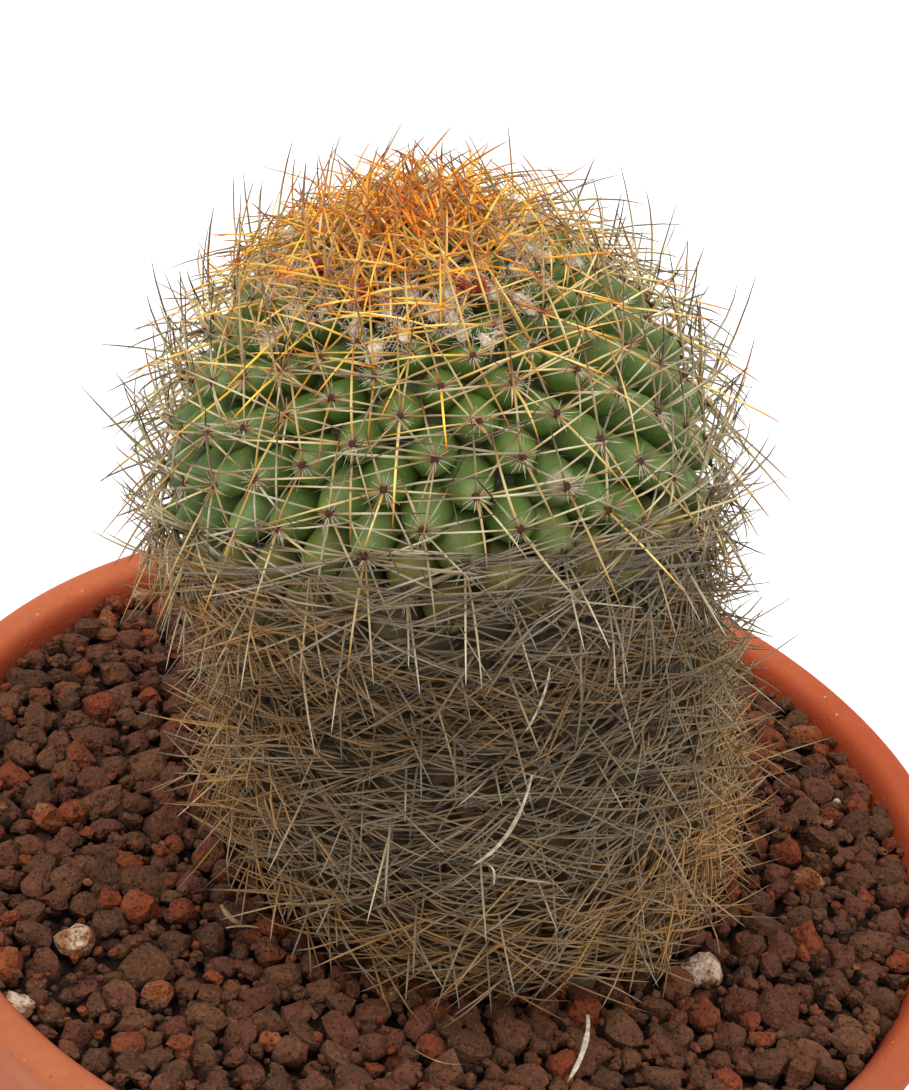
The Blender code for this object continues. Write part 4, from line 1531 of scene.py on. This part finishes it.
@dataclass(frozen=True)
class AreoleDown:
    """Felt knots at the tips, short white bristles round them, and cream wool between the newest tubercles."""

    effects: Effects
    knot: float = 0.8 * MM
    knot_flatness: float = 0.6
    ball_sides: int = 8
    ball_levels: int = 3
    bristles: int = 14
    bristle_from: float = 12 * MM
    bristle_age: float = 0.5
    bristle_length: float = 2.9 * MM
    bristle_radius: float = 0.065 * MM
    felt_to: float = 25 * MM
    felt_hairs: int = 30
    felt_radius: float = 0.07 * MM
    wool_from: float = 12 * MM
    wool_to: float = 25 * MM
    wool_share: float = 0.85
    wool_hairs: int = 72
    wool_radius: float = 0.09 * MM
    wool_spread: float = 0.8 * MM
    pad: float = 1.25 * MM
    pad_flatness: float = 0.7
    pad_stretch: float = 1.9
    knot_tones: Tones = (shade(92, 66, 52), shade(58, 34, 34))
    bristle_tones: Tones = (shade(240, 234, 214), shade(206, 188, 150))
    wool_tones: Tones = (shade(246, 236, 214), shade(226, 206, 172))
    seed: int = 31

    def balls(self, middle: Array, size: Array, row: Row, height: float, long: float = 1) -> Stacks:
        """Balls of a size on the skin: (long · sin v cos u, sin v sin u, height · cos v) times their radius."""
        v = np.arange(1, self.ball_levels + 1) / (self.ball_levels + 1) * math.pi
        wide = np.sin(v)[None, :, None, None] * spokes(row, around(self.ball_sides), long)[:, None]
        tall = height * np.cos(v)[None, :, None, None] * row["normal"][:, None, None]
        rings = middle[:, None, None] + size[:, None, None, None] * (wide - tall)
        pole = row["normal"] * (size * height)[:, None]
        return Stacks(rings, middle - pole, middle + pole)

    def knots(self, row: Row) -> Stacks:
        """Flattened balls of felt on the tips."""
        size = self.knot * (0.45 + 0.55 * row["size"])
        return self.balls(row["tip"] - row["normal"] * (size * 0.15)[:, None], size, row, self.knot_flatness)

    def hair(self, rng: Random, root: Array, way: Array, length: Array, radius: float, curl: float) -> Stacks:
        """Thin hairs: root + length · (s · way + curl · s² · a random sideways push)."""
        push = unit(rng.normal(size=way.shape)) * curl
        s = np.array([0.0, 0.5, 0.85, 1.0])[None, :, None]
        centres = root[:, None] + length[:, None, None] * (s * way[:, None] + s**2 * push[:, None])
        return tubes(centres, np.tile(np.array([1.0, 0.85, 0.5]) * radius, (len(root), 1)), 3)

    def felt(self, rng: Random, row: Row) -> Stacks:
        """Short cream hairs that stand round the newest knots."""
        young = picked(row, np.repeat(np.flatnonzero(row["skin"] < self.felt_to), self.felt_hairs))
        count = len(young["skin"])
        flat = towards(young, rng.uniform(0, TURN, count))
        root = young["tip"] + flat * rng.uniform(0.2, 0.9, (count, 1)) * self.knot - young["normal"] * 0.3 * MM
        way = unit(young["normal"] + flat * rng.uniform(0, 1.4, (count, 1)))
        return self.hair(rng, root, way, rng.uniform(1.2, 2.4, count) * MM, self.felt_radius, 0.35)

    def wool(self, rng: Random, row: Row) -> list[Stacks]:
        """Dense cream tufts, each a soft pad with hairs, that fill some of the axils just outside the crown."""
        ring = (row["skin"] > self.wool_from) & (row["skin"] < self.wool_to)
        ring &= rng.uniform(0, 1, len(ring)) < self.wool_share
        young, tufts = picked(row, ring), ring.sum()
        flat = towards(young, rng.uniform(0.6, 1.3, tufts) * rng.choice([-1.0, 1.0], tufts))
        sunk = young["normal"] * (young["depth"] * 0.12)[:, None]
        axil = young["place"] + flat * (young["spacing"] * 0.5)[:, None] - sunk
        size = self.pad * rng.uniform(0.7, 1.15, tufts)
        pads = self.balls(axil, size, young, self.pad_flatness, self.pad_stretch)
        middle, normal = (np.repeat(array, self.wool_hairs, 0) for array in (axil, young["normal"]))
        count = len(middle)
        root = middle + rng.normal(0, self.wool_spread, (count, 3))
        way = unit(normal + 1.1 * rng.normal(size=(count, 3)))
        return [pads, self.hair(rng, root, way, rng.uniform(1.2, 2.4, count) * MM, self.wool_radius, 0.6)]

    def stiff(self, rng: Random, row: Row) -> Stacks:
        """Short bristles round the areoles of the head, more of them pointing down than up."""
        headed = (row["age"] < self.bristle_age) & (row["skin"] > self.bristle_from)
        again = picked(row, np.repeat(np.flatnonzero(headed), self.bristles))
        count = len(again["skin"])
        flat = towards(again, rng.normal(0, 1.7, count))
        rise = np.radians(rng.uniform(2, 40, count))
        way = np.cos(rise)[:, None] * flat + np.sin(rise)[:, None] * again["normal"]
        length = self.bristle_length * rng.uniform(0.6, 1.3, count) * (0.5 + 0.5 * again["size"])
        return self.hair(rng, again["tip"] + flat * 0.3 * MM, way, length, self.bristle_radius, 0.12)

    def build(self, row: Row) -> None:
        """Builds the knots, the bristles and the wool."""
        rng, effects = np.random.default_rng(self.seed), self.effects
        felt = FibreFinish("areole_felt", effects, 0.9, 0.2 * MM, 0.1, 0, *self.knot_tones, 2600)
        white = FibreFinish("white_bristle", effects, 0.5, 0.03 * MM, 0.4, 0.1, *self.bristle_tones, 700)
        cream = FibreFinish("axil_wool", effects, 0.85, 0.03 * MM, 0.2, 0.3, *self.wool_tones, 400)
        knots = stack_piece("areole_knots", [self.knots(row)], felt.material())
        bristles = stack_piece("areole_bristles", [self.stiff(rng, row)], white.material())
        wool = stack_piece("axil_wool", [self.felt(rng, row), *self.wool(rng, row)], cream.material())
        stand_for_cactus([knots, bristles, wool])


@dataclass(frozen=True)
class Scrap:
    """One dry strip: the pixels that it passes, its width, how far it lies off the skin, and how flat it is.

    Its pixels are in the photograph. On the gravel it lies at a height over the gravel's top.
    """

    start: Pair
    middle: Pair
    end: Pair
    width: float
    lift: tuple[float, float, float]
    on_gravel: bool = False
    flatness: float = 0.3
    tone: int = 0


@dataclass(frozen=True)
class Remains:
    """What lies about on a grown plant: papery husks, a fallen spine and the dried flowers round the crown."""

    effects: Effects
    shape: StemShape
    framing: Framing
    scraps: tuple[Scrap, ...] = (
        Scrap((550, 668), (541, 702), (524, 734), 0.4 * MM, (7 * MM, 8 * MM, 9 * MM)),
        Scrap((532, 775), (509, 832), (471, 866), 0.7 * MM, (8 * MM, 10 * MM, 12 * MM)),
        Scrap((488, 865), (494, 872), (493, 887), 0.35 * MM, (12 * MM, 12.5 * MM, 12 * MM)),
        Scrap((588, 1015), (584, 1048), (567, 1083), 0.9 * MM, (4 * MM, 2.2 * MM, 1.5 * MM), True),
        Scrap((415, 1050), (440, 1062), (464, 1064), 0.22 * MM, (2.5 * MM, 1.8 * MM, 1.2 * MM), True, 1.0, 1),
        Scrap((221, 905), (230, 917), (243, 926), 1.1 * MM, (2.5 * MM, 2.0 * MM, 1.2 * MM), True, 0.35, 1),
        Scrap((226, 928), (243, 926), (262, 928), 0.5 * MM, (1.8 * MM, 2.0 * MM, 1.8 * MM), True, 0.4, 1),
    )
    flowers: tuple[Pair, ...] = ((322, 270), (367, 298), (462, 292), (482, 287))
    petals: int = 8
    petal_length: float = 3.8 * MM
    petal_width: float = 0.62 * MM
    flower_lift: float = 3.4 * MM
    flower_spread: float = 0.4 * MM
    paper_tones: Tones = (shade(216, 206, 182), shade(118, 98, 72))
    straw_tones: Tones = (shade(164, 142, 100), shade(104, 80, 50))
    petal_tones: Tones = (shade(190, 74, 62), shade(120, 46, 40))
    seed: int = 41

    def spot(self, pixel: Pair, lift: float, on_gravel: bool) -> Array:
        """The place that shows at a pixel, lifted off the gravel's top or off the stem's skin."""
        eye, ray = self.framing.eye(), self.framing.ray(pixel)
        if on_gravel:
            return eye + ray * ((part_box("gravel")[1].z + lift - eye[2]) / ray[2])
        return self.shape.meet(eye, ray, lift)

    def strips(self, tone: int) -> Stacks:
        """The scraps of one tone, each a flattened tube on the quadratic curve through its three places."""
        mine = [scrap for scrap in self.scraps if scrap.tone == tone]
        s = np.linspace(0, 1, 10)[:, None]
        centres, radii = [], []
        for scrap in mine:
            pixels = (scrap.start, scrap.middle, scrap.end)
            start, middle, end = (self.spot(pixel, lift, scrap.on_gravel) for pixel, lift in zip(pixels, scrap.lift))
            bulge = 2 * middle - (start + end) / 2
            centres.append((1 - s) ** 2 * start + 2 * s * (1 - s) * bulge + s**2 * end)
            swell = 0.35 + 0.65 * np.sin(math.pi * (0.08 + 0.84 * s[:-1, 0]))
            radii.append(scrap.width / 2 * (swell + 0.12 * np.sin(17 * s[:-1, 0] + scrap.width / MM)))
        flatness = float(np.mean([scrap.flatness for scrap in mine]))
        return tubes(np.array(centres), np.array(radii), 8, flatness=flatness)

    def blooms(self, rng: Random) -> Stacks:
        """Withered petals, curled in a tuft at each dried flower."""
        spots = np.array([self.spot(pixel, self.flower_lift, False) for pixel in self.flowers])
        count = len(spots) * self.petals
        root = np.repeat(spots, self.petals, 0) + rng.normal(0, self.flower_spread, (count, 3))
        way = unit(rng.normal(0, 0.5, (count, 3)) + np.array([0.0, -0.35, 0.9]))
        push = unit(rng.normal(size=(count, 3))) * 0.35
        s = np.array([0.0, 0.25, 0.55, 0.8, 1.0])[None, :, None]
        length = self.petal_length * rng.uniform(0.6, 1.1, (count, 1, 1))
        centres = root[:, None] + length * ((s - 0.35) * way[:, None] + s**2 * push[:, None])
        girth = np.array([0.5, 0.9, 1.0, 0.6]) * self.petal_width
        return tubes(centres, girth * rng.uniform(0.7, 1.2, (count, 1)), 6, flatness=0.4)

    def build(self) -> None:
        """Builds the white husks, the tan ones and the dried flowers."""
        rng, effects = np.random.default_rng(self.seed), self.effects
        paper = FibreFinish("husk_paper", effects, 0.8, 0.05 * MM, 0.2, 0.1, *self.paper_tones, 900)
        straw = FibreFinish("husk_straw", effects, 0.8, 0.08 * MM, 0.2, 0, *self.straw_tones, 600)
        petal = FibreFinish("dried_petal", effects, 0.7, 0.1 * MM, 0.25, 0.05, *self.petal_tones, 900)
        husks = stack_piece("papery_husks", [self.strips(0)], paper.material())
        tan = stack_piece("tan_husks", [self.strips(1)], straw.material())
        stand_for_cactus([husks, tan, stack_piece("dried_flowers", [self.blooms(rng)], petal.material())])


def build_soil(effects: Effects) -> None:
    """Gives the soil's solid its material."""
    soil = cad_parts["soil"]
    made = EarthFinish("potting_soil", effects, 0.95, 0.8 * MM, 0.1, 0, shade(40, 30, 22), shade(74, 56, 40)).material()
    soil.data.materials.clear()
    soil.data.materials.append(made)


def main() -> None:
    """Builds every piece in order."""
    logging.basicConfig(level=logging.INFO, format="%(name)s: %(message)s")
    framing, effects, shape = Framing(), Effects(), StemShape()
    framing.make_camera()
    Studio(effects).make()
    pot = TerracottaPot(effects)
    pot.build()
    build_soil(effects)
    GravelTop(effects, pot, framing).build()
    row = shape.areoles()
    Flesh(effects, shape, framing).build(row)
    spiny = picked(row, row["tip"][:, 2] > shape.spines_from)
    SpineYard(effects, shape).build(spiny)
    AreoleDown(effects).build(spiny)
    Remains(effects, shape, framing).build()


if __name__ == "__main__":
    main()
